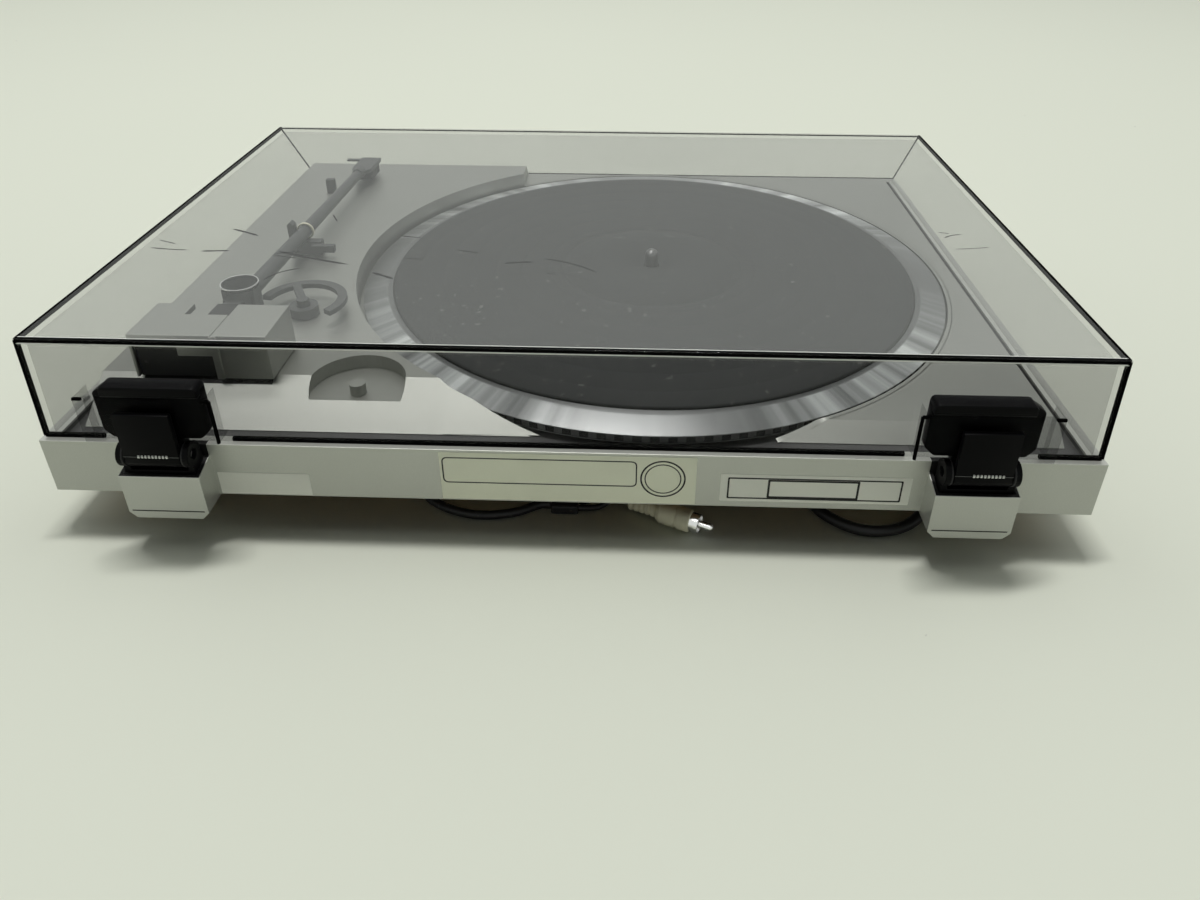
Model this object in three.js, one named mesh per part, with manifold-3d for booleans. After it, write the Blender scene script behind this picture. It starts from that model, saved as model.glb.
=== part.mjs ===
// Direct drive turntable with a closed clear dust cover, in millimetres, +Z up.
// The modelling frame has x = 0 at mid width, y = 0 on the cabinet's rear wall and z = 0 on the
// cabinet's top rim. The outer group moves the part so that it stands on z = 0, centred in x and y.
import * as THREE from "three";
import { mergeVertices } from "three/addons/utils/BufferGeometryUtils.js";
import Module from "manifold-3d";

const wasm = await Module();
wasm.setup();

// Fits shared by all pieces
const seatGap = 0.3; // between two pieces that touch
const slideGap = 0.4; // between a moving piece and its guide
const overrun = 2; // how far a cut runs past the face it opens
const turnSteps = 96; // facets of the platter and its well
const roundSteps = 48; // facets of middle-sized rounds
const smallSteps = 24; // facets of small rounds

// Cabinet
const leftMargin = 21.8; // beside the platter
const armBay = 95.2; // beside the platter, for the arm
const rearMargin = 8.1; // behind the platter, to the rear wall
const frontMargin = 9.9; // before the platter, to the foot of the cover
const cabinetHeight = 26;
const cabinetWall = 2.8;
const rimWidth = 6;
const ledgeDrop = 3;
const ledgeThickness = 2.5;
const ledgeWidth = 13;
const boardThickness = 3;
const footHeight = 18;
const footRadius = 17;
const footTopRadius = 14;
const footInset = 33;
const footFrontInset = 42;
const footRearInset = 38;

// Dust cover
const coverHeight = 47;
const coverSlope = 46; // how far the front leans back over its height
const coverWall = 3;
const coverDraft = 1.7;
const coverSideInset = 1.3;
const coverRearInset = 2;

// Front panel, leaning back from its foot
const panelLip = 1.5;
const panelDrop = 21.5;
const panelLean = THREE.MathUtils.degToRad(24);
const panelThickness = 1.5;
const panelMargin = 1.5;
const panelSideInset = 28;
const windowInset = 68; // from the cabinet's side
const windowTop = 4;
const windowBottom = 18;
const circuitThickness = 1.6;
const circuitTop = 7;
const circuitBottom = 19.5;
const circuitOverlap = 3;

// Front controls: buttons are rectangular, the pitch knob is round
const buttonLength = 20;
const buttonHeight = 8;
const buttonProud = 2.5;
const buttonRoot = 1.2;
const buttonRow = 11;
const knobRadius = 5;
const knobProud = 4;
const endButtonInset = 88; // of the power and stop buttons, from the cabinet's side
const speed33ButtonX = -42;
const speed45ButtonX = -16;
const pitchKnobX = 14;

// Deck, in two levels with a round well for the platter
const deckSideInset = 11;
const deckRearInset = 14;
const deckFrontGap = 0.5;
const deckWall = 2.5;
const lowDeckHeight = 3.3;
const highDeckHeight = 12;
const highDeckWidth = 166; // from the step to the cabinet's side
const rearSlope = THREE.MathUtils.degToRad(34.3);
const deckCoverGap = 1.2;
const adapterInset = 125; // from the cabinet's side
const adapterY = -32.5;
const adapterRadius = 21;
const adapterFloor = 5.5;
const adapterPegRadius = 3.5;
const adapterPegHeight = 5;

// Platter and motor
const platterRadius = 159.5;
const strobeInset = 1;
const strobeHeight = 4.1;
const platterSkirt = 1.5;
const bevelEdge = 0.6;
const bevelHeight = 2.3;
const bevelWidth = 12;
const lipWidth = 4;
const matThickness = 3;
const matProud = 1.3;
const webThickness = 3;
const skirtWidth = 2.5;
const skirtRound = 5;
const hubRadius = 22;
const hubDrop = 2.5;
const wellGap = 2.8;
const spindleRadius = 3.6;
const spindleProud = 9.5;
const spindleNose = 3;
const flangeRadius = 9;
const flangeThickness = 2.7;
const magnetInnerRadius = 45;
const magnetWidth = 17;
const magnetHeight = 9;
const motorPanRadius = 85;
const motorPanDepth = 16.5;
const statorInset = 5; // from the motor pan's wall
const statorThickness = 1.6;
const statorHole = 14;
const coilCount = 8;
const coilWidth = 22;
const magnetAirGap = 0.6;
const bearingRadius = 9;
const thrustThickness = 0.6;

// Tonearm, on a pillar; it lies at rest turned a little inwards
const pivotInset = 58.5; // from the cabinet's side
const pivotY = -80;
const armAxisHeight = 26; // above the rim, at the pivot
const armDroop = THREE.MathUtils.degToRad(1.1);
const armYaw = THREE.MathUtils.degToRad(0.3);
const pillarRadius = 6.5;
const pillarFootRadius = 10;
const pillarFootHeight = 2;
const gimbalRadius = 8.75;
const gimbalFloor = 1.8;
const gimbalTop = 32.3;
const gimbalEar = 2;
const gimbalEarDepth = 8;
const pivotPinRadius = 1;
const capThickness = 2;
const hubWidth = 10.6;
const hubHeight = 6;
const hubLength = 18.1;
const hubGap = 1; // room above and below the hub as the arm tilts
const tubeRadius = 4;
const tubeEndRadius = 3;
const tubeBore = 2.4;
const needleOverhang = 0.28213; // how far past the spindle the needle would swing
const collarPlace = 87;
const collarWall = 1;
const collarLength = 1.6;
const headshellWidth = 13;
const headshellLength = 34;
const headshellThickness = 2.6;
const headshellNeck = 7;
const headshellNeckRadius = 3.6;
const headshellChamfer = 3;
const fingerLength = 9;
const fingerWidth = 3;
const fingerThickness = 1.2;
const cartridgeWidth = 12;
const cartridgeLength = 19;
const cartridgeHeight = 5.8;
const cartridgeSetback = 4;
const stylusWidth = 5;
const stylusLength = 10;
const stylusDrop = 1.4;
const weightWidth = 16;
const weightHeight = 12;
const weightChamfer = 2;
const weightLength = 21;
const stubRadius = 2.5;
const stubDrop = 2.8;
const stubStart = 9.3;
const stubNeck = 2.7;
const stubLength = 25;
const stubBlock = 8;

// Tonearm base cover behind the pivot, counted from the pivot
const hoodFront = 20;
const hoodDepth = 29;
const hoodTop = 33.5;
const hoodThickness = 2.6;
const hoodRight = 29.5;
const hoodLeft = 30.7;
const hoodBar = 3; // upright bar between the open bay and the closed box
const hoodBarPlace = 6.5;
const hoodBarProud = 1;
const hoodSideWall = 1.2;
const hoodSideDepth = 18;
const notchLeft = 7.5; // cut in the top above the counterweight
const notchRight = 12.5;
const notchDepth = 10;
const seamWidth = 0.6;
const seamDepth = 0.5;
const tabRight = 9;
const tabBottom = 23.3;
const tabThickness = 1.2;
const backThickness = 1.6;

// Arm rest, with a locking clip that folds up beside the tube
const restPlace = 83;
const restDepth = 5;
const restWidth = 17.7;
const restTabWidth = 3.6;
const restTabTop = 31.5;
const restTabChamfer = 1.5;
const clipLength = 11;
const clipTail = 2;
const clipThickness = 4;
const clipDepth = 3.6;
const clipPinRadius = 1.2;
const clipPinPlace = 2.75; // from the rest's inner end
const clipPinDrop = 2.9; // below the shelf

// Lifter beside the pivot, and the cueing lever that works it
const lifterAcross = 24; // from the pivot, as are the next three
const lifterAhead = 11;
const cueAcross = 15.5;
const cueAhead = 181;
const lifterRadius = 19;
const lifterWidth = 4.5;
const lifterThickness = 2.5;
const lifterStart = THREE.MathUtils.degToRad(-216);
const lifterEnd = THREE.MathUtils.degToRad(-8);
const lifterTubeGap = 0.6;
const lifterPostRadius = 3;
const lifterPostRoot = 5;
const lifterHousingRadius = 7;
const lifterHousingHeight = 5;
const lifterSpokeWidth = 4;
const lifterSpokeAngle = THREE.MathUtils.degToRad(-62);
const lifterSteps = 26;
const cueWidth = 5.5;
const cueDepth = 4;
const cueHeight = 9.5;
const cueAxisDepth = 3;
const cueTravel = THREE.MathUtils.degToRad(40);

// Cover hinges: sizes are counted from the hinge axis
const hingeInset = 53.75; // from the cabinet's side
const hingeAxisY = 7;
const hingeAxisZ = 0.5;
const housingWidth = 33.5;
const housingDepth = 11.5;
const housingBottom = 30;
const housingTop = 8.5;
const housingWall = 1.8;
const housingFloor = 3;
const housingChamfer = 3;
const cheekThickness = 2.8;
const cheekRadius = 5.5;
const pinRadius = 1.9;
const boltLength = 26;
const bracketDepth = 8.5;
const bracketTop = 7.2;
const bracketBottom = 23;
const leafRear = 5;
const leafCrease = 1.5;
const leafBoxFront = 2.3;
const leafBoxTop = 21.5;
const leafWidthTongue = 46;
const tongueFront = -6;
const tongueRear = -1;
const tongueBottom = 6.5;
const tongueTop = 32.5;
const tongueHeadBottom = 27.2;
const tongueHeadRear = 2;
const tongueChamfer = 4;
const leafUnderRadius = 5.5;
const pocketWall = 2.5;
const pocketSideGap = 1.5;
const pocketBottom = 6.2;
const pocketTop = 27;

// Power transformer, and the clamps that hold the two leads under the cabinet
const transformerInset = 53; // from the cabinet's side
const transformerY = -82;
const transformerWidth = 46;
const transformerDepth = 38;
const transformerHeight = 16.5;
const bobbinWidth = 26;
const bobbinProud = 3;
const bobbinHeight = 13;
const glandWidth = 15;
const glandDepth = 14;
const glandHeight = 9;
const mainsGlandInset = 54;
const mainsGlandY = -67;
const audioGlandX = 18.4;
const audioGlandY = -27;

// Leads lying under the cabinet
const mainsRadius = 2.5;
const audioRadius = 2;
const tailRadius = 1.3;
const coilPitchShare = 1.6; // of the lead's diameter, across and up
const coilLoops = 3; // loops in each of two layers
const mainsCoilRadius = 42;
const mainsCoilX = -62;
const mainsCoilY = -60;
const audioCoilRadius = 31.6;
const audioCoilX = 50;
const audioCoilY = -84;
const leadLift = 0.15; // between a lead and the surface below it
const leadSides = 8;
const leadSpacing = 2; // of the lead's diameter, between rings of corners
const coilSteps = 24; // rings of corners in a loop
const coilSides = 6;
const mainsTurns = 7;
const audioTurns = 6.5;
const tailSpread = 2.2; // of each thin lead from the middle of the joining block
const joinerLength = 12;
const joinerWidth = 9;
const joinerHeight = 4.6;
const joinerX = 2;
const joinerY = -17;
const phonoReliefLength = 13;
const phonoReliefRadius = 2.6;
const phonoRibs = 5;
const phonoRibProud = 0.7;
const phonoBodyRadius = 5;
const phonoBodyLength = 16;
const phonoSleeveRadius = 4.2;
const phonoSleeveLength = 4;
const phonoPinRadius = 1.6;
const phonoPinLength = 6;
const phonoSteps = 16;
const plugWidth = 26;
const plugLength = 24;
const plugHeight = 13;
const plugNeck = 8;
const plugReliefRadius = 4;
const plugChamfer = 2;
const mainsPlugX = -106;
const mainsPlugY = -112;
const bladeLength = 17;
const bladeWidth = 6.4;
const bladeThickness = 1.5;
const bladeSpacing = 12.7;

// Ways the leads take: [x, y, height above the level the lead lies at]
const mainsRunPoints = [
  [-163.6, -46, 7],
  [-162, -33, 2.5],
  [-156, -17, 0],
  [-142, -6, 0],
  [-126, -5, 0],
  [-112, -15, 0],
  [-106, -30, 0],
];
const audioRunPoints = [
  [18.4, -48, 7],
  [18.4, -60, 2.2],
];

// [x, y, share of the way up to the other end of the stretch]
const mainsTailPoints = [
  [-104.5, -82, 0.7],
  [-105.5, -96, 0.15],
];
const audioTailPoints = [
  [78.4, -65, 0.7],
  [76, -42, 0],
  [62, -18, 0],
  [42, -9, 0],
  [24, -11, 0],
];

// The two thin leads: letter, side of the block, points, start of the plug and its bearing
const phonoPlugAX = -27;
const phonoPlugAY = -16.7;
const phonoPlugATurn = THREE.MathUtils.degToRad(114.6);
const phonoPlugBX = -6;
const phonoPlugBY = -58;
const phonoTails = [
  ["a", 1, [[-13, -16.4, 0.1], [-19, -19.2, 0.5]], phonoPlugAX, phonoPlugAY, phonoPlugATurn],
  ["b", -1, [[-10.5, -25, 0], [-10.5, -36, 0.2], [-7.5, -47, 0.8]], phonoPlugBX, phonoPlugBY, 0],
];
const rearward = new THREE.Vector3(0, 1, 0);
const forward = rearward.clone().negate();
const leftward = new THREE.Vector3(-1, 0, 0);

// Sizes and places that follow from the sizes above: the cabinet is set out round the platter
const cabinetHalf = (leftMargin + 2 * platterRadius + armBay) / 2;
const platterX = leftMargin + platterRadius - cabinetHalf;
const platterY = -rearMargin - platterRadius;
const strobeRadius = platterRadius - strobeInset;
const lipRadius = platterRadius - bevelWidth;
const matRadius = lipRadius - lipWidth;
const magnetOuterRadius = magnetInnerRadius + magnetWidth;
const statorRadius = motorPanRadius - statorInset;
const pivotX = cabinetHalf - pivotInset;
const lifterX = pivotX - lifterAcross;
const lifterY = pivotY - lifterAhead;
const cueX = pivotX + cueAcross;
const cueY = pivotY - cueAhead;
const deckStepX = cabinetHalf - highDeckWidth;
const adapterX = cabinetHalf - adapterInset;
const hingeX = cabinetHalf - hingeInset;
const transformerX = transformerInset - cabinetHalf;
const mainsGlandX = mainsGlandInset - cabinetHalf;
const windowHalf = cabinetHalf - windowInset;
const stopButtonX = cabinetHalf - endButtonInset;
const powerButtonX = -stopButtonX;
const coverLean = coverSlope / coverHeight;
const coverFrontY = platterY - platterRadius - frontMargin;
const coverTopFrontY = coverFrontY + coverSlope;
const coverHalf = cabinetHalf - coverSideInset;
const panelTopY = coverFrontY - panelLip;
const panelFootY = panelTopY - panelDrop * Math.tan(panelLean);
const rimInnerHalf = cabinetHalf - rimWidth;
const rimInnerFrontY = panelTopY + rimWidth;
const openingHalf = rimInnerHalf - ledgeWidth;
const openingFrontY = rimInnerFrontY + ledgeWidth;
const openingRearY = -rimWidth - ledgeWidth;
const floorZ = -cabinetHeight - footHeight;
const deckHalf = cabinetHalf - deckSideInset;
const deckFootZ = -ledgeDrop + seatGap;
const deckFrontY = rimInnerFrontY + deckFrontGap;
const deckLean = coverLean;
const wellRadius = platterRadius + wellGap;
const matTopZ = bevelEdge + bevelHeight + strobeHeight - platterSkirt + matProud;
const lipZ = strobeHeight - platterSkirt + bevelEdge + bevelHeight;
const matSeatZ = matTopZ - matThickness - seatGap;
const webBottomZ = matSeatZ - webThickness;
const panFloorZ = deckFootZ - ledgeThickness - motorPanDepth + deckWall;
const boardTopZ = -cabinetHeight + boardThickness;

// Materials
const paint = (color, roughness, metalness) =>
  new THREE.MeshStandardMaterial({ color, roughness, metalness });
const silver = paint(0xb9bbb4, 0.45, 0.35);
const aluminium = paint(0xc9c9c4, 0.3, 0.9);
const black = paint(0x0c0c0d, 0.25, 0.0);
const darkArm = paint(0x3a3b3c, 0.4, 0.6);
const steel = paint(0x9a9a98, 0.3, 0.9);
const rubber = paint(0x262627, 0.8, 0.0);
const magnetGrey = paint(0x333436, 0.6, 0.1);
const boardBrown = paint(0x9a7b4a, 0.7, 0.0);
const circuitGreen = paint(0x3f6a48, 0.6, 0.0);
const copper = paint(0xb87342, 0.4, 0.8);
const cream = paint(0xe4dfc4, 0.5, 0.0);
const cableGrey = paint(0x2b2b2c, 0.6, 0.0);
const smoke = new THREE.MeshStandardMaterial({
  color: 0x55524f,
  roughness: 0.05,
  metalness: 0.0,
  transparent: true,
  opacity: 0.4,
});

// A closed geometry as a solid for joining and cutting, with its faces outwards.
function toSolid(geometry) {
  let merged = geometry;
  if (!geometry.userData.joined) {
    const bare = geometry.index ? geometry.toNonIndexed() : geometry.clone();
    bare.deleteAttribute("normal");
    bare.deleteAttribute("uv");
    merged = mergeVertices(bare);
  }
  const place = merged.attributes.position.array;
  const index = merged.index.array;
  const kept = [];
  let volume = 0;
  for (let i = 0; i < index.length; i += 3) {
    const [a, b, c] = [index[i], index[i + 1], index[i + 2]];
    if (a === b || b === c || a === c) continue;
    kept.push(a, b, c);
    const [p, q, r] = [a, b, c].map((k) => new THREE.Vector3().fromArray(place, 3 * k));
    volume += p.dot(q.cross(r));
  }
  if (volume < 0) {
    kept.reverse();
  }
  const triVerts = new Uint32Array(kept);
  return new wasm.Manifold(new wasm.Mesh({ numProp: 3, vertProperties: place, triVerts }));
}

// The surface of a solid as a geometry.
function toGeometry(shape) {
  const { vertProperties, triVerts, numProp } = shape.getMesh();
  const places = [];
  for (let i = 0; i < vertProperties.length; i += numProp) {
    places.push(vertProperties[i], vertProperties[i + 1], vertProperties[i + 2]);
  }
  const geometry = new THREE.BufferGeometry();
  geometry.setAttribute("position", new THREE.Float32BufferAttribute(places, 3));
  geometry.setIndex([...triVerts]);
  geometry.userData.joined = true;
  return geometry;
}

const join = (...shapes) => toGeometry(shapes.map(toSolid).reduce((sum, next) => sum.add(next)));
const cut = (...shapes) => toGeometry(shapes.map(toSolid).reduce((sum, next) => sum.subtract(next)));
const meet = (...shapes) => toGeometry(shapes.map(toSolid).reduce((sum, next) => sum.intersect(next)));

// A shape as a named mesh in a group.
function piece(name, shape, material, parent) {
  const faceted = toGeometry(toSolid(shape)).toNonIndexed();
  faceted.computeVertexNormals();
  const mesh = new THREE.Mesh(faceted, material);
  mesh.name = name;
  parent.add(mesh);
  return mesh;
}

// A block between two corners, given as low and high values along each axis.
function block([x0, x1], [y0, y1], [z0, z1]) {
  const shape = new THREE.BoxGeometry(x1 - x0, y1 - y0, z1 - z0);
  shape.translate((x0 + x1) / 2, (y0 + y1) / 2, (z0 + z1) / 2);
  return shape;
}

// A block of given width about a middle, for pieces set out from their centre.
const around = (middle, width) => [middle - width / 2, middle + width / 2];

// A turned solid about the Z axis, from a closed outline of [radius, height] points.
function turned(outline, steps) {
  const points = [...outline, outline[0]].map(([r, z]) => new THREE.Vector2(r, z));
  const shape = new THREE.LatheGeometry(points, steps);
  shape.rotateX(Math.PI / 2);
  return shape;
}

const disc = (radius, [z0, z1], steps) =>
  turned([[0, z0], [radius, z0], [radius, z1], [0, z1]], steps);
const ring = (inner, outer, [z0, z1], steps) =>
  turned([[inner, z0], [outer, z0], [outer, z1], [inner, z1]], steps);

// A straight rod along X or Y between two ends.
function rod(axis, radius, [low, high], steps) {
  const shape = new THREE.CylinderGeometry(radius, radius, high - low, steps);
  if (axis === "x") {
    shape.rotateZ(Math.PI / 2);
    shape.translate((low + high) / 2, 0, 0);
  } else {
    shape.translate(0, (low + high) / 2, 0);
  }
  return shape;
}

const outlineShape = (points) => new THREE.Shape(points.map(([u, v]) => new THREE.Vector2(u, v)));

// An outline of [y, z] points carried along X.
function alongX(points, [x0, x1]) {
  const shape = new THREE.ExtrudeGeometry(outlineShape(points), {
    depth: x1 - x0,
    bevelEnabled: false,
  });
  const [x, y, z] = [new THREE.Vector3(0, 1, 0), new THREE.Vector3(0, 0, 1), new THREE.Vector3(1, 0, 0)];
  shape.applyMatrix4(new THREE.Matrix4().makeBasis(x, y, z));
  shape.translate(x0, 0, 0);
  return shape;
}

// An outline of [x, z] points carried along Y.
function alongY(points, [y0, y1]) {
  const shape = new THREE.ExtrudeGeometry(outlineShape(points), {
    depth: y1 - y0,
    bevelEnabled: false,
  });
  shape.rotateX(Math.PI / 2);
  shape.translate(0, y1, 0);
  return shape;
}

// An outline of [x, y] points carried upwards.
function alongZ(points, [z0, z1]) {
  const shape = new THREE.ExtrudeGeometry(outlineShape(points), {
    depth: z1 - z0,
    bevelEnabled: false,
  });
  shape.translate(0, 0, z0);
  return shape;
}

const moved = (shape, x, y, z = 0) => shape.translate(x, y, z);
const group = (parent, x = 0, y = 0, z = 0) => {
  const made = new THREE.Group();
  made.position.set(x, y, z);
  parent.add(made);
  return made;
};

const turntable = new THREE.Group();
const body = group(turntable);

// The panel's own frame: y up its slope, z out of its face, origin on its top edge.
const panelPlace = new THREE.Matrix4()
  .makeTranslation(0, panelTopY, 0)
  .multiply(new THREE.Matrix4().makeRotationX(Math.PI / 2 - panelLean));
const toPanel = (shape) => shape.applyMatrix4(panelPlace);

// Cabinet: walls, rim, ledge and the two hinge housings, open below.
function cabinetShape() {
  const dropY = panelFootY;
  const outline = [
    [0, -cabinetHeight],
    [0, 0],
    [panelTopY, 0],
    [dropY, -panelDrop],
    [dropY, -cabinetHeight],
  ];
  const inside = [
    [-cabinetWall, -cabinetHeight - overrun],
    [-cabinetWall, -ledgeDrop - ledgeThickness],
    [
      panelTopY + cabinetWall - (ledgeDrop + ledgeThickness) * Math.tan(panelLean),
      -ledgeDrop - ledgeThickness,
    ],
    [dropY + cabinetWall, -panelDrop],
    [dropY + cabinetWall, -cabinetHeight - overrun],
  ];
  const outside = alongX(outline, [-cabinetHalf, cabinetHalf]);
  const hollow = alongX(inside, [-cabinetHalf + cabinetWall, cabinetHalf - cabinetWall]);
  const ledge = block([-rimInnerHalf, rimInnerHalf], [rimInnerFrontY, -rimWidth], [-ledgeDrop, overrun]);
  const opening = block(
    [-openingHalf, openingHalf],
    [openingFrontY, openingRearY],
    [-ledgeDrop - ledgeThickness - overrun, overrun],
  );
  const window = toPanel(
    block([-windowHalf, windowHalf], [-windowBottom, -windowTop], [-cabinetWall - overrun, overrun]),
  );
  const housings = [-hingeX, hingeX].map((x) => moved(housingShape(), x, 0, 0));
  const shell = cut(outside, hollow, ledge, opening, window);
  return cut(join(shell, ...housings), ...[-hingeX, hingeX].map((x) => moved(socketShape(), x, 0, 0)));
}

// One hinge housing on the rear wall, with a chamfered foot.
function housingShape() {
  const half = housingWidth / 2;
  const outline = [
    [-half, -housingTop],
    [-half, -housingBottom + housingChamfer],
    [-half + housingChamfer, -housingBottom],
    [half - housingChamfer, -housingBottom],
    [half, -housingBottom + housingChamfer],
    [half, -housingTop],
  ];
  const outside = alongY(outline, [-cabinetWall, housingDepth]);
  const side = [
    [-cabinetWall, -housingTop],
    [housingDepth, -housingTop],
    [0, -housingTop + housingChamfer],
    [-cabinetWall, -housingTop + housingChamfer],
  ];
  return join(outside, alongX(side, [-half, half]));
}

// The room that a housing leaves for its bracket.
function socketShape() {
  const half = housingWidth / 2 - housingWall;
  return block([-half, half], [seatGap, housingDepth - housingWall], [-housingBottom + housingFloor, 0]);
}

// Deck: two levels, rear slope, platter well, motor pan and adapter recess.
function deckOutline(height, inset) {
  const slopeRun = (height - deckFootZ) / Math.tan(rearSlope);
  const drop = inset > 0 ? overrun : 0;
  return [
    [-deckRearInset - inset, deckFootZ - drop],
    [-deckRearInset - inset - slopeRun + inset * Math.tan(rearSlope / 2) * 2, height - inset],
    [deckFrontY + deckLean * height + inset, height - inset],
    [deckFrontY + inset, -inset],
    [deckFrontY + inset, deckFootZ - drop],
  ];
}

function deckShape() {
  const low = alongX(deckOutline(lowDeckHeight, 0), [-deckHalf, deckHalf]);
  const high = alongX(deckOutline(highDeckHeight, 0), [deckStepX, deckHalf]);
  const insideHalf = deckHalf - deckWall;
  const lowInside = alongX(deckOutline(lowDeckHeight, deckWall), [-insideHalf, insideHalf]);
  const highInside = alongX(deckOutline(highDeckHeight, deckWall), [deckStepX + deckWall, insideHalf]);
  const outer = join(low, high);
  const shell = cut(outer, lowInside, highInside);
  const floorZs = [deckFootZ - ledgeThickness, deckFootZ];
  const wellZs = [deckFootZ, highDeckHeight + overrun];
  const wellRoom = moved(disc(wellRadius, wellZs, turnSteps), platterX, platterY);
  const wellRim = moved(
    ring(wellRadius, wellRadius + deckWall, [floorZs[0], highDeckHeight], turnSteps),
    platterX,
    platterY,
  );
  const seatBox = block(
    [-openingHalf + seatGap, openingHalf - seatGap],
    [openingFrontY + seatGap, openingRearY - seatGap],
    floorZs,
  );
  const floorDisc = disc(wellRadius + deckWall / 2, floorZs, turnSteps);
  const floor = meet(moved(floorDisc, platterX, platterY), seatBox);
  const pan = moved(
    disc(motorPanRadius + deckWall, [panFloorZ - deckWall, floorZs[1]], turnSteps / 2),
    platterX,
    platterY,
  );
  const panRoom = moved(disc(motorPanRadius, [panFloorZ, overrun], turnSteps / 2), platterX, platterY);
  const recessZs = [adapterFloor, highDeckHeight + overrun];
  const recess = moved(disc(adapterRadius, recessZs, roundSteps), adapterX, adapterY);
  const cupZs = [adapterFloor - deckWall, highDeckHeight];
  const cup = disc(adapterRadius + deckWall, cupZs, roundSteps);
  const recessCup = meet(moved(cup, adapterX, adapterY), outer);
  const peg = moved(
    disc(adapterPegRadius, [adapterFloor - deckWall / 2, adapterFloor + adapterPegHeight], smallSteps),
    adapterX,
    adapterY,
  );
  const cueLean = cueDepth / (2 * Math.cos(cueTravel)) + cueAxisDepth * Math.tan(cueTravel);
  const cueSlot = block(
    around(cueX, cueWidth + 2 * slideGap),
    [cueY - slideGap - cueLean, cueY + cueDepth / 2 + slideGap],
    [highDeckHeight - deckWall - overrun, highDeckHeight + overrun],
  );
  const walled = join(cut(shell, wellRoom), meet(wellRim, join(outer, seatBox)), floor, pan);
  return join(cut(join(walled, recessCup), recess, panRoom, wellRoom, cueSlot), peg);
}

// Dust cover: a thin shell with drafted sides, a leaning front and two hinge pockets.
function coverShell(inset, drop) {
  const leanInset = inset * Math.hypot(1, coverLean);
  const outline = [
    [-coverRearInset - inset, -drop],
    [-coverRearInset - inset, coverHeight - inset],
    [coverTopFrontY - coverLean * inset + leanInset, coverHeight - inset],
    [coverFrontY + leanInset - coverLean * drop, -drop],
  ];
  const half = coverHalf - coverDraft - inset;
  const shape = alongX(outline, [-half, half]);
  const place = shape.attributes.position;
  for (let i = 0; i < place.count; i += 1) {
    const spread = (coverDraft / half) * (1 - place.getZ(i) / coverHeight);
    place.setX(i, place.getX(i) * (1 + spread));
  }
  return shape;
}

function coverShape() {
  const pocketHalf = leafWidthTongue / 2 + pocketSideGap + pocketWall;
  const rearY = hingeAxisY + tongueRear + seatGap;
  const pockets = [-hingeX, hingeX].map((x) =>
    block(
      around(x, 2 * pocketHalf),
      [-coverRearInset - coverWall / 2, rearY + pocketWall],
      [pocketBottom, pocketTop],
    ),
  );
  const rooms = [-hingeX, hingeX].map((x) =>
    block(
      around(x, 2 * (pocketHalf - pocketWall)),
      [-coverRearInset, rearY],
      [pocketBottom - overrun, pocketTop + overrun],
    ),
  );
  return cut(join(cut(coverShell(0, 0), coverShell(coverWall, overrun)), ...pockets), ...rooms);
}

// Hinge bracket: a foot in the housing and two round cheeks, about the hinge axis.
function bracketShape() {
  const half = housingWidth / 2 - housingWall - seatGap;
  const front = -hingeAxisY + 2 * seatGap;
  const foot = block([-half, half], [front, front + bracketDepth], [-bracketBottom, -bracketTop]);
  const cheek = (x0, x1) => {
    const round = moved(rod("x", cheekRadius, [x0, x1], smallSteps), 0, 0);
    const stem = block([x0, x1], [-cheekRadius, front + bracketDepth], [-bracketTop - seatGap, 0]);
    return join(round, stem);
  };
  const cheeks = [cheek(-half, -half + cheekThickness), cheek(half - cheekThickness, half)];
  const bore = rod("x", pinRadius + seatGap, [-half - overrun, half + overrun], smallSteps);
  return cut(join(foot, ...cheeks), bore);
}

// Hinge leaf: a wide tongue for the cover's pocket, and the spring box behind it.
function leafShape() {
  const half = housingWidth / 2 - housingWall - seatGap - cheekThickness - slideGap;
  const under = [-20, -60, -100, -140].map((degrees) => {
    const angle = THREE.MathUtils.degToRad(degrees);
    return [leafUnderRadius * Math.cos(angle), leafUnderRadius * Math.sin(angle)];
  });
  const webTop = pocketBottom - hingeAxisZ - seatGap;
  const side = [
    [leafRear, leafBoxTop],
    [leafRear, leafCrease],
    ...under,
    [tongueFront, webTop],
    [tongueFront, tongueTop],
    [tongueRear, tongueTop],
    [tongueRear, webTop],
    [leafBoxFront, webTop],
    [leafBoxFront, leafBoxTop],
  ];
  const core = alongX(side, [-half, half]);
  const wide = leafWidthTongue / 2;
  const plate = [
    [-wide, tongueTop],
    [-wide, tongueBottom + tongueChamfer],
    [-wide + tongueChamfer, tongueBottom],
    [wide - tongueChamfer, tongueBottom],
    [wide, tongueBottom + tongueChamfer],
    [wide, tongueTop],
  ];
  const tongue = alongY(plate, [tongueFront, tongueRear]);
  const head = block([-wide, wide], [tongueFront, tongueHeadRear], [tongueHeadBottom, tongueTop]);
  const bore = rod("x", pinRadius + seatGap, [-half - overrun, half + overrun], smallSteps);
  return cut(join(core, tongue, head), bore);
}

// Platter: a shallow dish with a bevelled rim, a strobe band, a web and a hub.
function platterShape() {
  const bandTop = strobeHeight - platterSkirt;
  return turned(
    [
      [spindleRadius + seatGap, webBottomZ - hubDrop],
      [hubRadius, webBottomZ - hubDrop],
      [hubRadius, webBottomZ],
      [strobeRadius - skirtWidth - skirtRound, webBottomZ],
      [strobeRadius - skirtWidth, -platterSkirt],
      [strobeRadius, -platterSkirt],
      [strobeRadius, bandTop],
      [platterRadius, bandTop],
      [platterRadius, bandTop + bevelEdge],
      [lipRadius, lipZ],
      [matRadius + seatGap, lipZ],
      [matRadius + seatGap, matSeatZ],
      [spindleRadius + seatGap, matSeatZ],
    ],
    turnSteps,
  );
}

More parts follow.
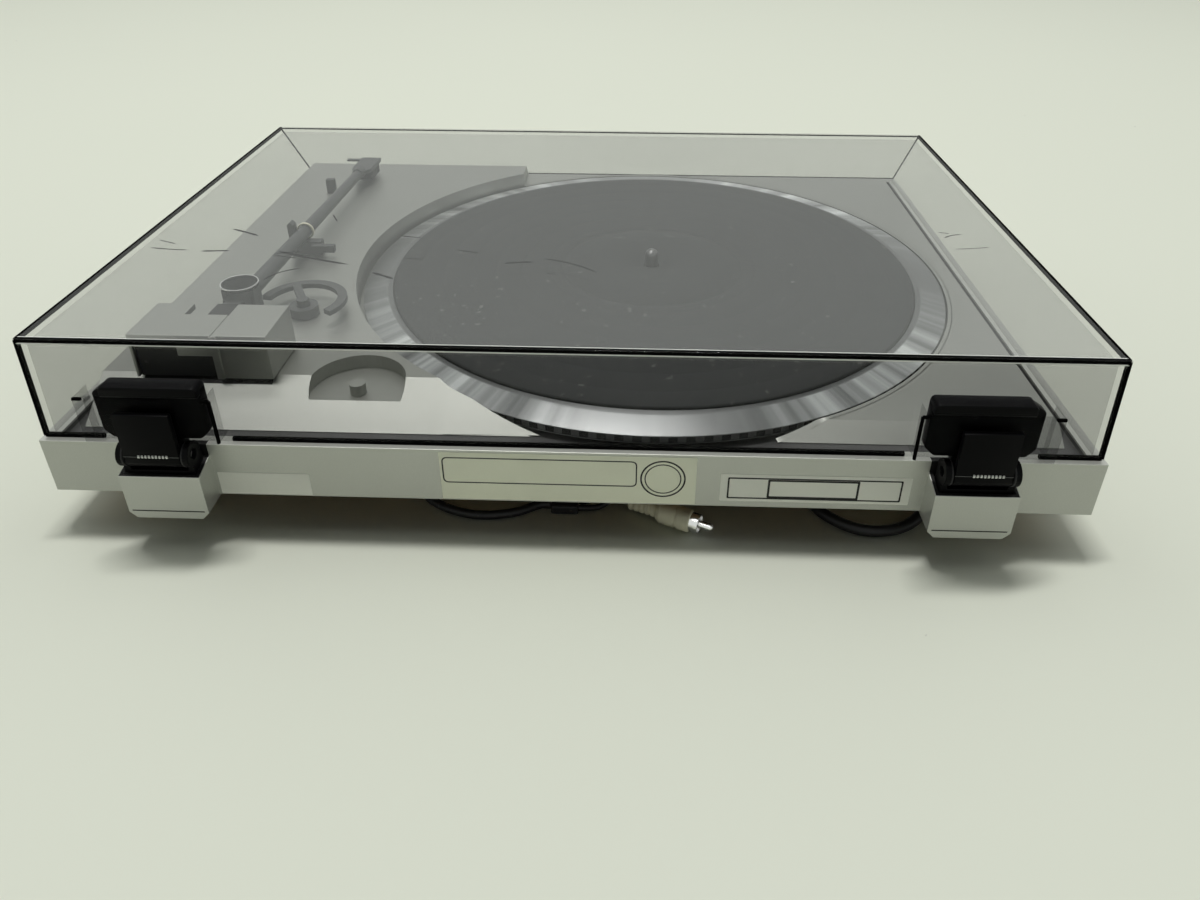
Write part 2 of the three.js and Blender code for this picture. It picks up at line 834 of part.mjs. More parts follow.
const flangeTopZ = webBottomZ - hubDrop - seatGap;
const flangeBottomZ = flangeTopZ - flangeThickness;
const bearingBottomZ = panFloorZ + seatGap;
const thrustTopZ = bearingBottomZ + thrustThickness;
const magnetTopZ = webBottomZ - seatGap;
const statorTopZ = bearingBottomZ + statorThickness;

function spindleShape() {
  const tip = matTopZ + spindleProud;
  return turned(
    [
      [0, thrustTopZ + seatGap],
      [spindleRadius, thrustTopZ + seatGap],
      [spindleRadius, flangeBottomZ],
      [flangeRadius, flangeBottomZ],
      [flangeRadius, flangeTopZ],
      [spindleRadius, flangeTopZ],
      [spindleRadius, tip - spindleNose],
      [spindleRadius / 2, tip],
      [0, tip],
    ],
    smallSteps,
  );
}

// Motor: the board with its flat coils round the bearing.
function statorShape() {
  const board = ring(statorHole, statorRadius, [bearingBottomZ, statorTopZ], roundSteps);
  const coilTop = magnetTopZ - magnetHeight - magnetAirGap;
  const coils = [];
  for (let k = 0; k < coilCount; k += 1) {
    const coil = block(
      [magnetInnerRadius, magnetOuterRadius],
      around(0, coilWidth),
      [statorTopZ - seatGap, coilTop],
    );
    coil.rotateZ((2 * Math.PI * k) / coilCount);
    coils.push(coil);
  }
  return join(board, ...coils);
}

function buildCabinet() {
  piece("cabinet", cabinetShape(), silver, body);
  piece("deck", deckShape(), silver, body);
  const inner = cabinetHalf - cabinetWall - seatGap;
  const board = block(
    [-inner, inner],
    [panelFootY + cabinetWall + seatGap, -cabinetWall - seatGap],
    [-cabinetHeight, boardTopZ],
  );
  piece("bottom_board", board, boardBrown, body);
  const footX = cabinetHalf - footInset;
  const feet = [
    ["foot_front_left", -footX, panelFootY + footFrontInset],
    ["foot_front_right", footX, panelFootY + footFrontInset],
    ["foot_rear_left", -footX, -footRearInset],
    ["foot_rear_right", footX, -footRearInset],
  ];
  for (const [name, x, y] of feet) {
    const place = group(body, x, y, floorZ);
    const top = footHeight - seatGap;
    const foot = turned([[0, 0], [footRadius, 0], [footTopRadius, top], [0, top]], roundSteps);
    piece(name, foot, rubber, place);
  }
}

function buildPanel() {
  const panel = group(body, 0, panelTopY, 0);
  panel.rotation.x = Math.PI / 2 - panelLean;
  const half = cabinetHalf - panelSideInset;
  const slope = panelDrop / Math.cos(panelLean);
  const plate = block(
    [-half, half],
    [-slope + panelMargin, -panelMargin],
    [seatGap, seatGap + panelThickness],
  );
  const buttons = [
    ["power_button", powerButtonX],
    ["speed_33_button", speed33ButtonX],
    ["speed_45_button", speed45ButtonX],
    ["stop_button", stopButtonX],
  ];
  const face = seatGap + panelThickness;
  const holes = buttons.map(([, x]) =>
    block(
      around(x, buttonLength + 2 * slideGap),
      around(-buttonRow, buttonHeight + 2 * slideGap),
      [-overrun, face + overrun],
    ),
  );
  const knobBore = disc(knobRadius + slideGap, [-overrun, face + overrun], smallSteps);
  const knobHole = moved(knobBore, pitchKnobX, -buttonRow);
  piece("front_panel", cut(plate, ...holes, knobHole), aluminium, panel);
  for (const [name, x] of buttons) {
    const place = group(panel, x, -buttonRow, 0);
    const cap = block(around(0, buttonLength), around(0, buttonHeight), [-buttonRoot, face + buttonProud]);
    piece(name, cap, black, place);
  }
  const knobPlace = group(panel, pitchKnobX, -buttonRow, 0);
  piece("pitch_knob", disc(knobRadius, [-buttonRoot, face + knobProud], smallSteps), black, knobPlace);
  const circuitHalf = windowHalf + circuitOverlap;
  const circuitFace = -cabinetWall - seatGap;
  const circuit = block(
    [-circuitHalf, circuitHalf],
    [-circuitBottom, -circuitTop],
    [circuitFace - circuitThickness, circuitFace],
  );
  piece("control_board", circuit, circuitGreen, panel);
}

function buildCover() {
  const cover = group(body, 0, 0, seatGap);
  piece("dust_cover", coverShape(), smoke, cover);
  for (const [side, x] of [["left", -hingeX], ["right", hingeX]]) {
    const hinge = group(body, x, hingeAxisY, hingeAxisZ);
    piece("hinge_bracket_" + side, bracketShape(), black, hinge);
    piece("hinge_leaf_" + side, leafShape(), black, hinge);
    piece("hinge_pin_" + side, rod("x", pinRadius, around(0, boltLength), smallSteps), steel, hinge);
  }
}

function buildMotor() {
  const motor = group(body, platterX, platterY, 0);
  piece("platter", platterShape(), aluminium, motor);
  const mat = ring(spindleRadius + slideGap, matRadius, [matTopZ - matThickness, matTopZ], turnSteps);
  piece("platter_mat", mat, rubber, motor);
  piece("spindle", spindleShape(), steel, motor);
  const magnetZs = [magnetTopZ - magnetHeight, magnetTopZ];
  const magnet = ring(magnetInnerRadius, magnetOuterRadius, magnetZs, roundSteps);
  piece("rotor_magnet", magnet, magnetGrey, motor);
  piece("motor_stator", statorShape(), copper, motor);
  const bore = spindleRadius + seatGap;
  const bearing = ring(bore, bearingRadius, [bearingBottomZ, flangeBottomZ - seatGap], smallSteps);
  piece("spindle_bearing", bearing, steel, motor);
  piece("thrust_pad", disc(spindleRadius, [bearingBottomZ, thrustTopZ], smallSteps), black, motor);
}

// Tonearm pieces: the arm's own frame has its tilt axis at the origin and its tube along -Y.
const plateauZ = highDeckHeight + seatGap;
const gimbalFloorTop = armAxisHeight - hubHeight / 2 - hubGap;
const tubeStart = hubLength / 2 + seatGap;
const tubeToNeedle = seatGap + headshellLength - cartridgeSetback - stylusWidth / 2;
const needleReach = Math.hypot(pivotX - platterX, pivotY - platterY) + needleOverhang;
const tubeLength = needleReach - tubeToNeedle - tubeStart;
const shellStart = tubeStart + tubeLength + seatGap;
const tubeRadiusAt = (along) =>
  tubeRadius + ((tubeEndRadius - tubeRadius) * (along - tubeStart)) / tubeLength;
const stubEnd = stubStart + stubNeck + stubLength;
const weightStart = stubStart + stubNeck + seatGap;

function pillarShape() {
  const foot = disc(pillarFootRadius, [plateauZ, plateauZ + pillarFootHeight], roundSteps);
  const column = disc(pillarRadius, [plateauZ, gimbalFloorTop - gimbalFloor - seatGap], smallSteps);
  return join(foot, column);
}

function gimbalShape() {
  const floor = disc(gimbalRadius, [gimbalFloorTop - gimbalFloor, gimbalFloorTop], roundSteps);
  const inside = hubWidth / 2 + slideGap;
  const ears = [[inside, inside + gimbalEar], [-inside - gimbalEar, -inside]].map((xs) =>
    block(xs, around(0, gimbalEarDepth), [gimbalFloorTop - gimbalFloor, gimbalTop]),
  );
  const bore = rod("x", pivotPinRadius + seatGap, around(0, 2 * (inside + gimbalEar + overrun)), smallSteps);
  return cut(join(floor, ...ears), moved(bore, 0, 0, armAxisHeight));
}

function hubShape() {
  const core = block(around(0, hubWidth), around(0, hubLength), around(0, hubHeight));
  const pin = rod("x", pivotPinRadius, around(0, hubWidth + 2 * (slideGap + gimbalEar)), smallSteps);
  const bridge = block(around(0, stubBlock), [0, stubStart + stubNeck], around(0, hubHeight));
  const drop = block(
    around(0, stubBlock),
    [stubStart, stubStart + stubNeck],
    [-stubDrop - stubRadius, hubHeight / 2],
  );
  const stub = moved(rod("y", stubRadius, [stubStart, stubEnd], smallSteps), 0, 0, -stubDrop);
  return join(core, pin, bridge, drop, stub);
}

function tubeShape() {
  const shape = turned(
    [
      [tubeBore, tubeStart],
      [tubeRadius, tubeStart],
      [tubeEndRadius, tubeStart + tubeLength],
      [tubeBore, tubeStart + tubeLength],
    ],
    smallSteps,
  );
  return shape.rotateX(Math.PI / 2);
}

function headshellShape() {
  const half = headshellWidth / 2;
  const end = -shellStart - headshellLength;
  const neckEnd = -shellStart - headshellNeck;
  const outline = [
    [-headshellNeckRadius, neckEnd + headshellNeck / 2],
    [headshellNeckRadius, neckEnd + headshellNeck / 2],
    [half, neckEnd - headshellChamfer],
    [half, end],
    [-half, end],
    [-half, neckEnd - headshellChamfer],
  ];
  const plate = alongZ(outline, around(0, headshellThickness));
  const neck = rod("y", headshellNeckRadius, [neckEnd, -shellStart], smallSteps);
  const finger = block(
    [half - overrun, half + fingerLength],
    [end + fingerWidth, end + 2 * fingerWidth],
    [headshellThickness / 2 - fingerThickness, headshellThickness / 2],
  );
  return join(plate, neck, finger);
}

function weightShape() {
  const half = weightWidth / 2;
  const [low, high] = around(-stubDrop, weightHeight);
  const outline = [
    [-half, low + weightChamfer],
    [-half + weightChamfer, low],
    [half - weightChamfer, low],
    [half, low + weightChamfer],
    [half, high - weightChamfer],
    [half - weightChamfer, high],
    [-half + weightChamfer, high],
    [-half, high - weightChamfer],
  ];
  const shape = alongY(outline, [weightStart, weightStart + weightLength]);
  const boreYs = [weightStart - overrun, weightStart + weightLength + overrun];
  const bore = rod("y", stubRadius + seatGap, boreYs, smallSteps);
  return cut(shape, moved(bore, 0, 0, -stubDrop));
}

const hoodRear = hoodFront + hoodDepth;
const backRear = hoodRear - tabThickness - seatGap;

function hoodShape() {
  const bottom = plateauZ;
  const ceiling = hoodTop - hoodThickness;
  const boxRight = -hoodBarPlace - hoodBar;
  const outer = block([-hoodLeft, hoodRight], [hoodFront, hoodRear], [bottom, hoodTop]);
  const bay = block(
    [boxRight, hoodRight + overrun],
    [hoodFront - overrun, hoodRear + overrun],
    [bottom - overrun, ceiling],
  );
  const room = block(
    [-hoodLeft + hoodSideWall, boxRight - hoodSideWall],
    [hoodFront + hoodSideWall, hoodRear - hoodSideWall],
    [bottom - overrun, ceiling],
  );
  const notch = block(
    [-notchLeft, notchRight],
    [hoodFront - overrun, hoodFront + notchDepth],
    [ceiling - overrun, hoodTop + overrun],
  );
  const seam = block(
    [-notchLeft, -notchLeft + seamWidth],
    [hoodFront, hoodRear + overrun],
    [hoodTop - seamDepth, hoodTop + overrun],
  );
  const side = block(
    [hoodRight - hoodSideWall, hoodRight],
    [hoodRear - hoodSideDepth, hoodRear],
    [bottom, hoodTop],
  );
  const bar = block(
    [boxRight, -hoodBarPlace],
    [hoodRear - hoodBar, hoodRear + hoodBarProud],
    [bottom, hoodTop],
  );
  const tab = block(
    [-hoodBarPlace - overrun, tabRight],
    [hoodRear - tabThickness, hoodRear],
    [tabBottom, hoodTop],
  );
  return cut(join(cut(outer, bay, room), side, bar, tab), notch, seam);
}

function buildTonearm() {
  const base = group(body, pivotX, pivotY, 0);
  piece("arm_pillar", pillarShape(), steel, base);
  piece("arm_cover", hoodShape(), silver, base);
  const back = block(
    [-hoodBarPlace + seatGap, hoodRight - hoodSideWall - seatGap],
    [backRear - backThickness, backRear],
    [plateauZ, hoodTop - hoodThickness - seatGap],
  );
  piece("arm_cover_back", back, black, base);

  const swing = group(base);
  swing.rotation.z = -armYaw;
  piece("arm_gimbal", gimbalShape(), steel, swing);
  const cap = disc(gimbalRadius, [gimbalTop + seatGap, gimbalTop + seatGap + capThickness], roundSteps);
  piece("pivot_cap", cap, black, swing);

  const arm = group(swing, 0, 0, armAxisHeight);
  arm.rotation.x = armDroop;
  piece("arm_hub", hubShape(), darkArm, arm);
  piece("arm_tube", tubeShape(), darkArm, arm);
  const collarRadius = tubeRadiusAt(collarPlace) + seatGap;
  const collarYs = around(collarPlace, collarLength);
  const collar = ring(collarRadius, collarRadius + collarWall, collarYs, smallSteps);
  piece("arm_collar", collar.rotateX(Math.PI / 2), cream, arm);
  piece("headshell", headshellShape(), darkArm, arm);
  const front = -shellStart - headshellLength + cartridgeSetback;
  const cartridgeTop = -headshellThickness / 2 - seatGap;
  const cartridge = block(
    around(0, cartridgeWidth),
    [front, front + cartridgeLength],
    [cartridgeTop - cartridgeHeight, cartridgeTop],
  );
  piece("cartridge", cartridge, black, arm);
  const stylusTop = cartridgeTop - cartridgeHeight - seatGap;
  const wedge = [
    [front, stylusTop],
    [front + stylusLength, stylusTop],
    [front + stylusLength, stylusTop - stylusDrop / 2],
    [front + stylusWidth / 2, stylusTop - stylusDrop],
    [front, stylusTop - stylusDrop / 2],
  ];
  piece("stylus", alongX(wedge, around(0, stylusWidth)), black, arm);
  piece("counterweight", weightShape(), black, arm);
}

function buildRest() {
  const middle = pivotX - restPlace * Math.sin(armYaw);
  const rest = group(body, middle, pivotY - restPlace * Math.cos(armYaw), 0);
  const radius = tubeRadiusAt(restPlace);
  const shelf = armAxisHeight - restPlace * Math.sin(armDroop) - radius / Math.cos(armDroop) - seatGap;
  const right = radius + slideGap + restTabWidth;
  const left = right - restWidth;
  const tab = restTabWidth + restTabChamfer;
  const outline = [
    [left, plateauZ],
    [right, plateauZ],
    [right, restTabTop - restTabChamfer],
    [right - restTabChamfer, restTabTop],
    [right - tab + 2 * restTabChamfer, restTabTop],
    [right - restTabWidth, restTabTop - restTabChamfer],
    [right - restTabWidth, shelf],
    [left, shelf],
  ];
  const clipAxis = shelf - clipPinDrop;
  const clipX = left + clipPinPlace;
  const post = alongY(outline, around(0, restDepth));
  const pinHole = rod("y", clipPinRadius + seatGap, around(0, restDepth + 2 * overrun), smallSteps);
  piece("arm_rest", cut(post, moved(pinHole, clipX, 0, clipAxis)), darkArm, rest);

  const clip = group(rest, clipX, restDepth / 2 + seatGap, clipAxis);
  const bar = block([-clipLength, clipTail], [0, clipDepth], around(0, clipThickness));
  const pin = rod("y", clipPinRadius, [-restDepth, clipDepth / 2], smallSteps);
  piece("arm_clip", join(bar, pin), darkArm, clip);
}

function buildLifter() {
  const lifter = group(body, lifterX, lifterY, 0);
  const tubeUnder = armAxisHeight - tubeRadius - lifterRadius * Math.tan(2 * armDroop);
  const top = tubeUnder - lifterTubeGap;
  const outline = [];
  for (const [radius, from, to] of [
    [lifterRadius + lifterWidth / 2, lifterStart, lifterEnd],
    [lifterRadius - lifterWidth / 2, lifterEnd, lifterStart],
  ]) {
    for (let k = 0; k <= lifterSteps; k += 1) {
      const angle = from + ((to - from) * k) / lifterSteps;
      outline.push([radius * Math.cos(angle), radius * Math.sin(angle)]);
    }
  }
  const arc = alongZ(outline, [top - lifterThickness, top]);
  const spoke = block([0, lifterRadius], around(0, lifterSpokeWidth), [top - lifterThickness, top]);
  spoke.rotateZ(lifterSpokeAngle);
  const housingTopZ = plateauZ + lifterHousingHeight;
  const post = disc(lifterPostRadius, [housingTopZ - lifterPostRoot, top], smallSteps);
  piece("lift_arc", join(arc, spoke, post), darkArm, lifter);
  const wall = lifterPostRadius + seatGap;
  const housing = ring(wall, lifterHousingRadius, [plateauZ, housingTopZ], smallSteps);
  piece("lift_housing", housing, darkArm, lifter);

  const cue = group(body, cueX, cueY, highDeckHeight - cueAxisDepth);
  const stick = block(around(0, cueWidth), around(0, cueDepth), [0, cueAxisDepth + cueHeight]);
  const axle = rod("x", cueDepth / 2, around(0, cueWidth), smallSteps);
  piece("cue_lever", join(stick, axle), darkArm, cue);
}

function buildPower() {
  const transformer = group(body, transformerX, transformerY, boardTopZ + seatGap);
  const core = block(
    around(0, transformerWidth),
    around(0, transformerDepth - 2 * bobbinProud),
    [0, transformerHeight],
  );
  const bobbin = block(
    around(0, bobbinWidth),
    around(0, transformerDepth),
    around(transformerHeight / 2, bobbinHeight),
  );
  piece("transformer", join(core, bobbin), boardBrown, transformer);
  for (const [name, x, y] of [
    ["mains_lead_clamp", mainsGlandX, mainsGlandY],
    ["audio_lead_clamp", audioGlandX, audioGlandY],
  ]) {
    const clamp = block(
      around(x, glandWidth),
      around(y, glandDepth),
      [-cabinetHeight - seatGap - glandHeight, -cabinetHeight - seatGap],
    );
    piece(name, clamp, black, body);
  }
}

// A smooth curve through points that never sinks below the level a lead lies at.
class LyingCurve extends THREE.CatmullRomCurve3 {
  constructor(points, lowest) {
    super(points, false, "centripetal");
    this.lowest = lowest;
  }

  getPoint(t, target) {
    const point = super.getPoint(t, target);
    point.z = Math.max(point.z, this.lowest);
    return point;
  }
}

// A round lead between two ends, each given as its place and the way the lead heads there.
function lead([start, startWay], points, [end, endWay], radius) {
  const [first, last] = [new THREE.Vector3(...start), new THREE.Vector3(...end)];
  const path = [
    first,
    first.clone().addScaledVector(startWay, 2 * radius),
    ...points.map((point) => new THREE.Vector3(...point)),
    last.clone().addScaledVector(endWay, -2 * radius),
    last,
  ];
  const curve = new LyingCurve(path, floorZ + radius + leadLift);
  const section = new THREE.Shape();
  for (let k = 0; k < leadSides; k += 1) {
    const angle = (2 * Math.PI * (k + 1 / 2)) / leadSides;
    const corner = [radius * Math.cos(angle), radius * Math.sin(angle)];
    if (k === 0) section.moveTo(...corner);
    else section.lineTo(...corner);
  }
  const length = curve.getLength();
  const steps = Math.ceil(length / (leadSpacing * 2 * radius));
  const shape = new THREE.ExtrudeGeometry(section, { steps, extrudePath: curve, bevelEnabled: false });
  shape.userData.length = length;
  return shape;
}

// A wound coil: loops spiral in, climb a layer in half a turn, and spiral out again.
function coilPoint(turn, outerRadius, radius) {
  const pitch = coilPitchShare * 2 * radius;
  const climbEnd = coilLoops + 1 / 2;
  const across = turn < climbEnd ? turn : 2 * climbEnd - turn;
  const reach = outerRadius - pitch * across;
  const climb = THREE.MathUtils.clamp(2 * (turn - coilLoops), 0, 1);
  const angle = Math.PI + 2 * Math.PI * turn;
  return new THREE.Vector3(reach * Math.cos(angle), reach * Math.sin(angle), pitch * climb);
}

// The way a loop heads at a turn, level.
const coilWay = (turn) => {
  const angle = Math.PI + 2 * Math.PI * turn;
  return new THREE.Vector3(-Math.sin(angle), Math.cos(angle), 0);
};

// The least distance between the surfaces of loops that lie beside each other.
function leastGap(path, radius, apart) {
  let least = Infinity;
  for (let i = 0; i < path.length; i += 1) {
    for (let k = i + apart; k < path.length; k += 1) {
      least = Math.min(least, path[i].distanceTo(path[k]) - 2 * radius);
    }
  }
  return least;
}

// The coil as one unbroken tube, with straight ends one diameter long.
function coilShape(outerRadius, radius, turns) {
  const centres = [];
  for (let k = 0; k <= turns * coilSteps; k += 1) {
    centres.push(coilPoint(k / coilSteps, outerRadius, radius));
  }
  const start = centres[0].clone().addScaledVector(coilWay(0), -2 * radius);
  const end = centres[centres.length - 1].clone().addScaledVector(coilWay(turns), 2 * radius);
  const path = [start, ...centres, end];
  const corners = [];
  path.forEach((centre, k) => {
    const before = path[Math.max(k - 1, 0)];
    const after = path[Math.min(k + 1, path.length - 1)];
    const way = after.clone().sub(before).setZ(0).normalize();
    const side = new THREE.Vector3(way.y, -way.x, 0);
    for (let s = 0; s < coilSides; s += 1) {
      const angle = (2 * Math.PI * s) / coilSides;
      const corner = centre.clone().addScaledVector(side, radius * Math.cos(angle));
      corner.z += radius * Math.sin(angle);
      corners.push(corner);
    }
  });
  const faces = [];
  for (let k = 0; k + 1 < path.length; k += 1) {
    for (let s = 0; s < coilSides; s += 1) {
      const [a, b] = [k * coilSides + s, k * coilSides + ((s + 1) % coilSides)];
      const [c, d] = [a + coilSides, b + coilSides];
      faces.push(a, b, c, b, d, c);
    }
  }
  const last = (path.length - 1) * coilSides;
  for (let s = 1; s + 1 < coilSides; s += 1) {
    faces.push(0, s + 1, s);
    faces.push(last, last + s, last + s + 1);
  }
  const shape = new THREE.BufferGeometry();
  shape.setFromPoints(corners);
  shape.setIndex(faces);
  let length = 0;
  for (let k = 1; k < path.length; k += 1) length += path[k].distanceTo(path[k - 1]);
  shape.userData.length = length;
  shape.userData.gap = leastGap(path, radius, coilSteps / 2);
  return shape;
}

function mainsPlugShape() {
  const half = plugWidth / 2;
  const [low, high] = around(0, plugHeight);
  const outline = [
    [-half, low + plugChamfer],
    [-half + plugChamfer, low],
    [half - plugChamfer, low],
    [half, low + plugChamfer],
    [half, high - plugChamfer],
    [half - plugChamfer, high],
    [-half + plugChamfer, high],
    [-half, high - plugChamfer],
  ];
  const housing = alongY(outline, [-plugNeck - plugLength, -plugNeck]);
  const relief = rod("y", plugReliefRadius, [-plugNeck - overrun, 0], smallSteps);
  const blades = [-bladeSpacing / 2, bladeSpacing / 2].map((x) =>
    block(
      around(x, bladeThickness),
      [-plugNeck - plugLength - bladeLength, -plugNeck - plugLength + overrun],
      around(0, bladeWidth),
    ),
  );
  return join(housing, relief, ...blades);
}

// A phono plug along -Y: ribbed relief, body, sleeve and centre pin in one turned shape.
function phonoPlugShape() {
  const outline = [[0, 0]];
  const rib = phonoReliefLength / (2 * phonoRibs);
  for (let k = 0; k < phonoRibs; k += 1) {
    outline.push([phonoReliefRadius, 2 * k * rib]);
    outline.push([phonoReliefRadius + phonoRibProud, 2 * k * rib + rib / 2]);
    outline.push([phonoReliefRadius + phonoRibProud, 2 * k * rib + (3 * rib) / 2]);
  }
  let along = phonoReliefLength;
  for (const [radius, length] of [
    [phonoBodyRadius, phonoBodyLength],
    [phonoSleeveRadius, phonoSleeveLength],
    [phonoPinRadius, phonoPinLength],
  ]) {
    outline.push([radius, along]);
    along += length;
    outline.push([radius, along]);
  }
  outline.push([0, along]);
  return turned(outline, phonoSteps).rotateX(Math.PI / 2);
}

function buildMainsLead() {
  const lowZ = floorZ + mainsRadius + leadLift;
  const highZ = lowZ + coilPitchShare * 2 * mainsRadius;
  const plugZ = floorZ + plugHeight / 2 + leadLift;
  const clampZ = -cabinetHeight - seatGap - glandHeight / 2;
  const clampFace = mainsGlandY + glandDepth / 2 + seatGap;
  const edgeX = mainsCoilX - mainsCoilRadius;
  const run = lead(
    [[mainsGlandX, clampFace, clampZ], rearward],
    mainsRunPoints.map(([x, y, up]) => [x, y, lowZ + up]),
    [[edgeX, mainsCoilY + 2 * mainsRadius + seatGap, lowZ], forward],
    mainsRadius,
  );
  const coil = coilShape(mainsCoilRadius, mainsRadius, mainsTurns);
  const tail = lead(
    [[edgeX, mainsCoilY - 2 * mainsRadius - seatGap, highZ], forward],
    mainsTailPoints.map(([x, y, share]) => [x, y, plugZ + share * (highZ - plugZ)]),
    [[mainsPlugX, mainsPlugY + seatGap, plugZ], forward],
    mainsRadius,
  );
  report("mains lead", coil, run, tail);
  piece("mains_lead_run", run, cableGrey, body);
  piece("mains_lead_coil", moved(coil, mainsCoilX, mainsCoilY, lowZ), cableGrey, body);
  piece("mains_lead_tail", tail, cableGrey, body);
  piece("mains_plug", moved(mainsPlugShape(), mainsPlugX, mainsPlugY, plugZ), black, body);
}

function buildAudioLead() {
  const lowZ = floorZ + audioRadius + leadLift;
  const highZ = lowZ + coilPitchShare * 2 * audioRadius;
  const clampZ = -cabinetHeight - seatGap - glandHeight / 2;
  const clampFace = audioGlandY - glandDepth / 2 - seatGap;
  const coilEndY = audioCoilY + 2 * audioRadius + seatGap;
  const outward = coilPitchShare * 2 * audioRadius * (2 * coilLoops + 1 - audioTurns);
  const joinerZ = floorZ + joinerHeight / 2 + leadLift;
  const run = lead(
    [[audioGlandX, clampFace, clampZ], forward],
    audioRunPoints.map(([x, y, up]) => [x, y, lowZ + up]),
    [[audioCoilX - audioCoilRadius, coilEndY, lowZ], forward],
    audioRadius,
  );
  const coil = coilShape(audioCoilRadius, audioRadius, audioTurns);
  const tail = lead(
    [[audioCoilX + audioCoilRadius - outward, coilEndY, highZ], rearward],
    audioTailPoints.map(([x, y, share]) => [x, y, lowZ + share * (highZ - lowZ)]),
    [[joinerX + joinerLength / 2 + seatGap, joinerY, lowZ], leftward],
    audioRadius,
  );
  report("audio lead", coil, run, tail);
  piece("audio_lead_run", run, cableGrey, body);
  piece("audio_lead_coil", moved(coil, audioCoilX, audioCoilY, lowZ), cableGrey, body);
  piece("audio_lead_tail", tail, cableGrey, body);
  const joiner = block(
    around(joinerX, joinerLength),
    around(joinerY, joinerWidth),
    around(joinerZ, joinerHeight),
  );
  piece("audio_joiner", joiner, black, body);

  const thinZ = floorZ + tailRadius + leadLift;
  const plugZ = floorZ + phonoBodyRadius + leadLift;
  const exitX = joinerX - joinerLength / 2 - seatGap;
  for (const [letter, side, points, x, y, bearing] of phonoTails) {
    const way = new THREE.Vector3(-Math.sin(bearing), -Math.cos(bearing), 0);
    const thin = lead(
      [[exitX, joinerY + side * tailSpread, joinerZ], leftward],
      points.map(([px, py, share]) => [px, py, thinZ + share * (plugZ - thinZ)]),
      [[x - seatGap * way.x, y - seatGap * way.y, plugZ], way],
      tailRadius,
    );
    piece("audio_tail_" + letter, thin, cableGrey, body);
    const plug = phonoPlugShape().rotateZ(-bearing);
    piece("phono_plug_" + letter, moved(plug, x, y, plugZ), cream, body);
  }
}

// Prints the length of a lead and the least gap of its coil to itself.
function report(name, coil, ...stretches) {
  const length = [coil, ...stretches].reduce((sum, shape) => sum + shape.userData.length, 0);
  console.log(name + ": " + length.toFixed(0) + " mm, coil gap " + coil.userData.gap.toFixed(2) + " mm");
}

buildCabinet();
buildPanel();
buildMotor();
buildTonearm();
buildRest();
buildLifter();
buildPower();
buildCover();

// The part stands on z = 0, centred in the box round everything but its leads.
const bounds = new THREE.Box3().setFromObject(turntable, true);
const middle = bounds.getCenter(new THREE.Vector3());
body.position.set(-middle.x, -middle.y, -bounds.min.z);

buildMainsLead();
buildAudioLead();

export default turntable;
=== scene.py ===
"""Looks of a direct drive turntable: pale floor, soft light, leads, stickers and finishes."""

import math

import bmesh
import bpy
import numpy as np
from bpy.props import FloatProperty, FloatVectorProperty, IntProperty, PointerProperty
from mathutils import Matrix, Vector


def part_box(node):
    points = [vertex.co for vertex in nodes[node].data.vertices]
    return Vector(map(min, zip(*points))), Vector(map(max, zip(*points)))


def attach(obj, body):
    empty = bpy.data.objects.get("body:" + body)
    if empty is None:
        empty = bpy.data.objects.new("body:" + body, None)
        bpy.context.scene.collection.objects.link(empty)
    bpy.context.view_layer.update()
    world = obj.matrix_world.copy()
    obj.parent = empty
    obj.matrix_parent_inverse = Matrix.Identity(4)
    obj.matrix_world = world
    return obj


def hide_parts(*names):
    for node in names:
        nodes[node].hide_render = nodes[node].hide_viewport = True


bl_info = {
    "name": "Direct drive turntable",
    "version": (1, 0, 0),
    "blender": (4, 5, 0),
    "location": "View3D > Sidebar > Turntable",
    "description": "Dresses the solids of a direct drive turntable with finishes and fine pieces",
    "category": "Object",
}

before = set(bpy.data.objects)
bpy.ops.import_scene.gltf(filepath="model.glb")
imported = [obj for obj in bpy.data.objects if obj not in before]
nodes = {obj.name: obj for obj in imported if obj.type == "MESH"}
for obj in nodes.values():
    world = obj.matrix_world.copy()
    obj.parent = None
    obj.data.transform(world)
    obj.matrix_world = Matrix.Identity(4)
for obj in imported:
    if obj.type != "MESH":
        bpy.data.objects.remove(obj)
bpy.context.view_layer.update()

MM = 0.001
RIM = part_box("cabinet")[1][2]  # top rim of the cabinet
BOARD_TO_WALL = 3.1 * MM  # from the bottom board's edge to the outer face of the rear wall
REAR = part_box("bottom_board")[1][1] + BOARD_TO_WALL
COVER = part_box("dust_cover")


def place(points):
    """Points of the source's modelling frame, in millimetres, as metres in this frame."""
    return np.asarray(points, float) * MM + np.array([0, REAR, RIM])


def middle(name):
    """The middle of a solid's box."""
    low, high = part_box(name)
    return (Vector(low) + Vector(high)) / 2


PLATTER = middle("platter")
HINGE = middle("hinge_pin_right").x  # from the middle of the cover to the middle of either hinge


# Settings


def colour_setting(name, description, default):
    """A colour of the panel."""
    return FloatVectorProperty(
        name=name, description=description, subtype="COLOR", size=3, min=0, max=1, default=default)


def length_setting(name, description, least, default):
    """A length of the panel, in metres."""
    return FloatProperty(
        name=name, description=description, subtype="DISTANCE", unit="LENGTH", min=least, default=default)


def share_setting(name, description, default):
    """A share of the panel, from 0 to 1."""
    return FloatProperty(name=name, description=description, subtype="FACTOR", min=0, max=1, default=default)


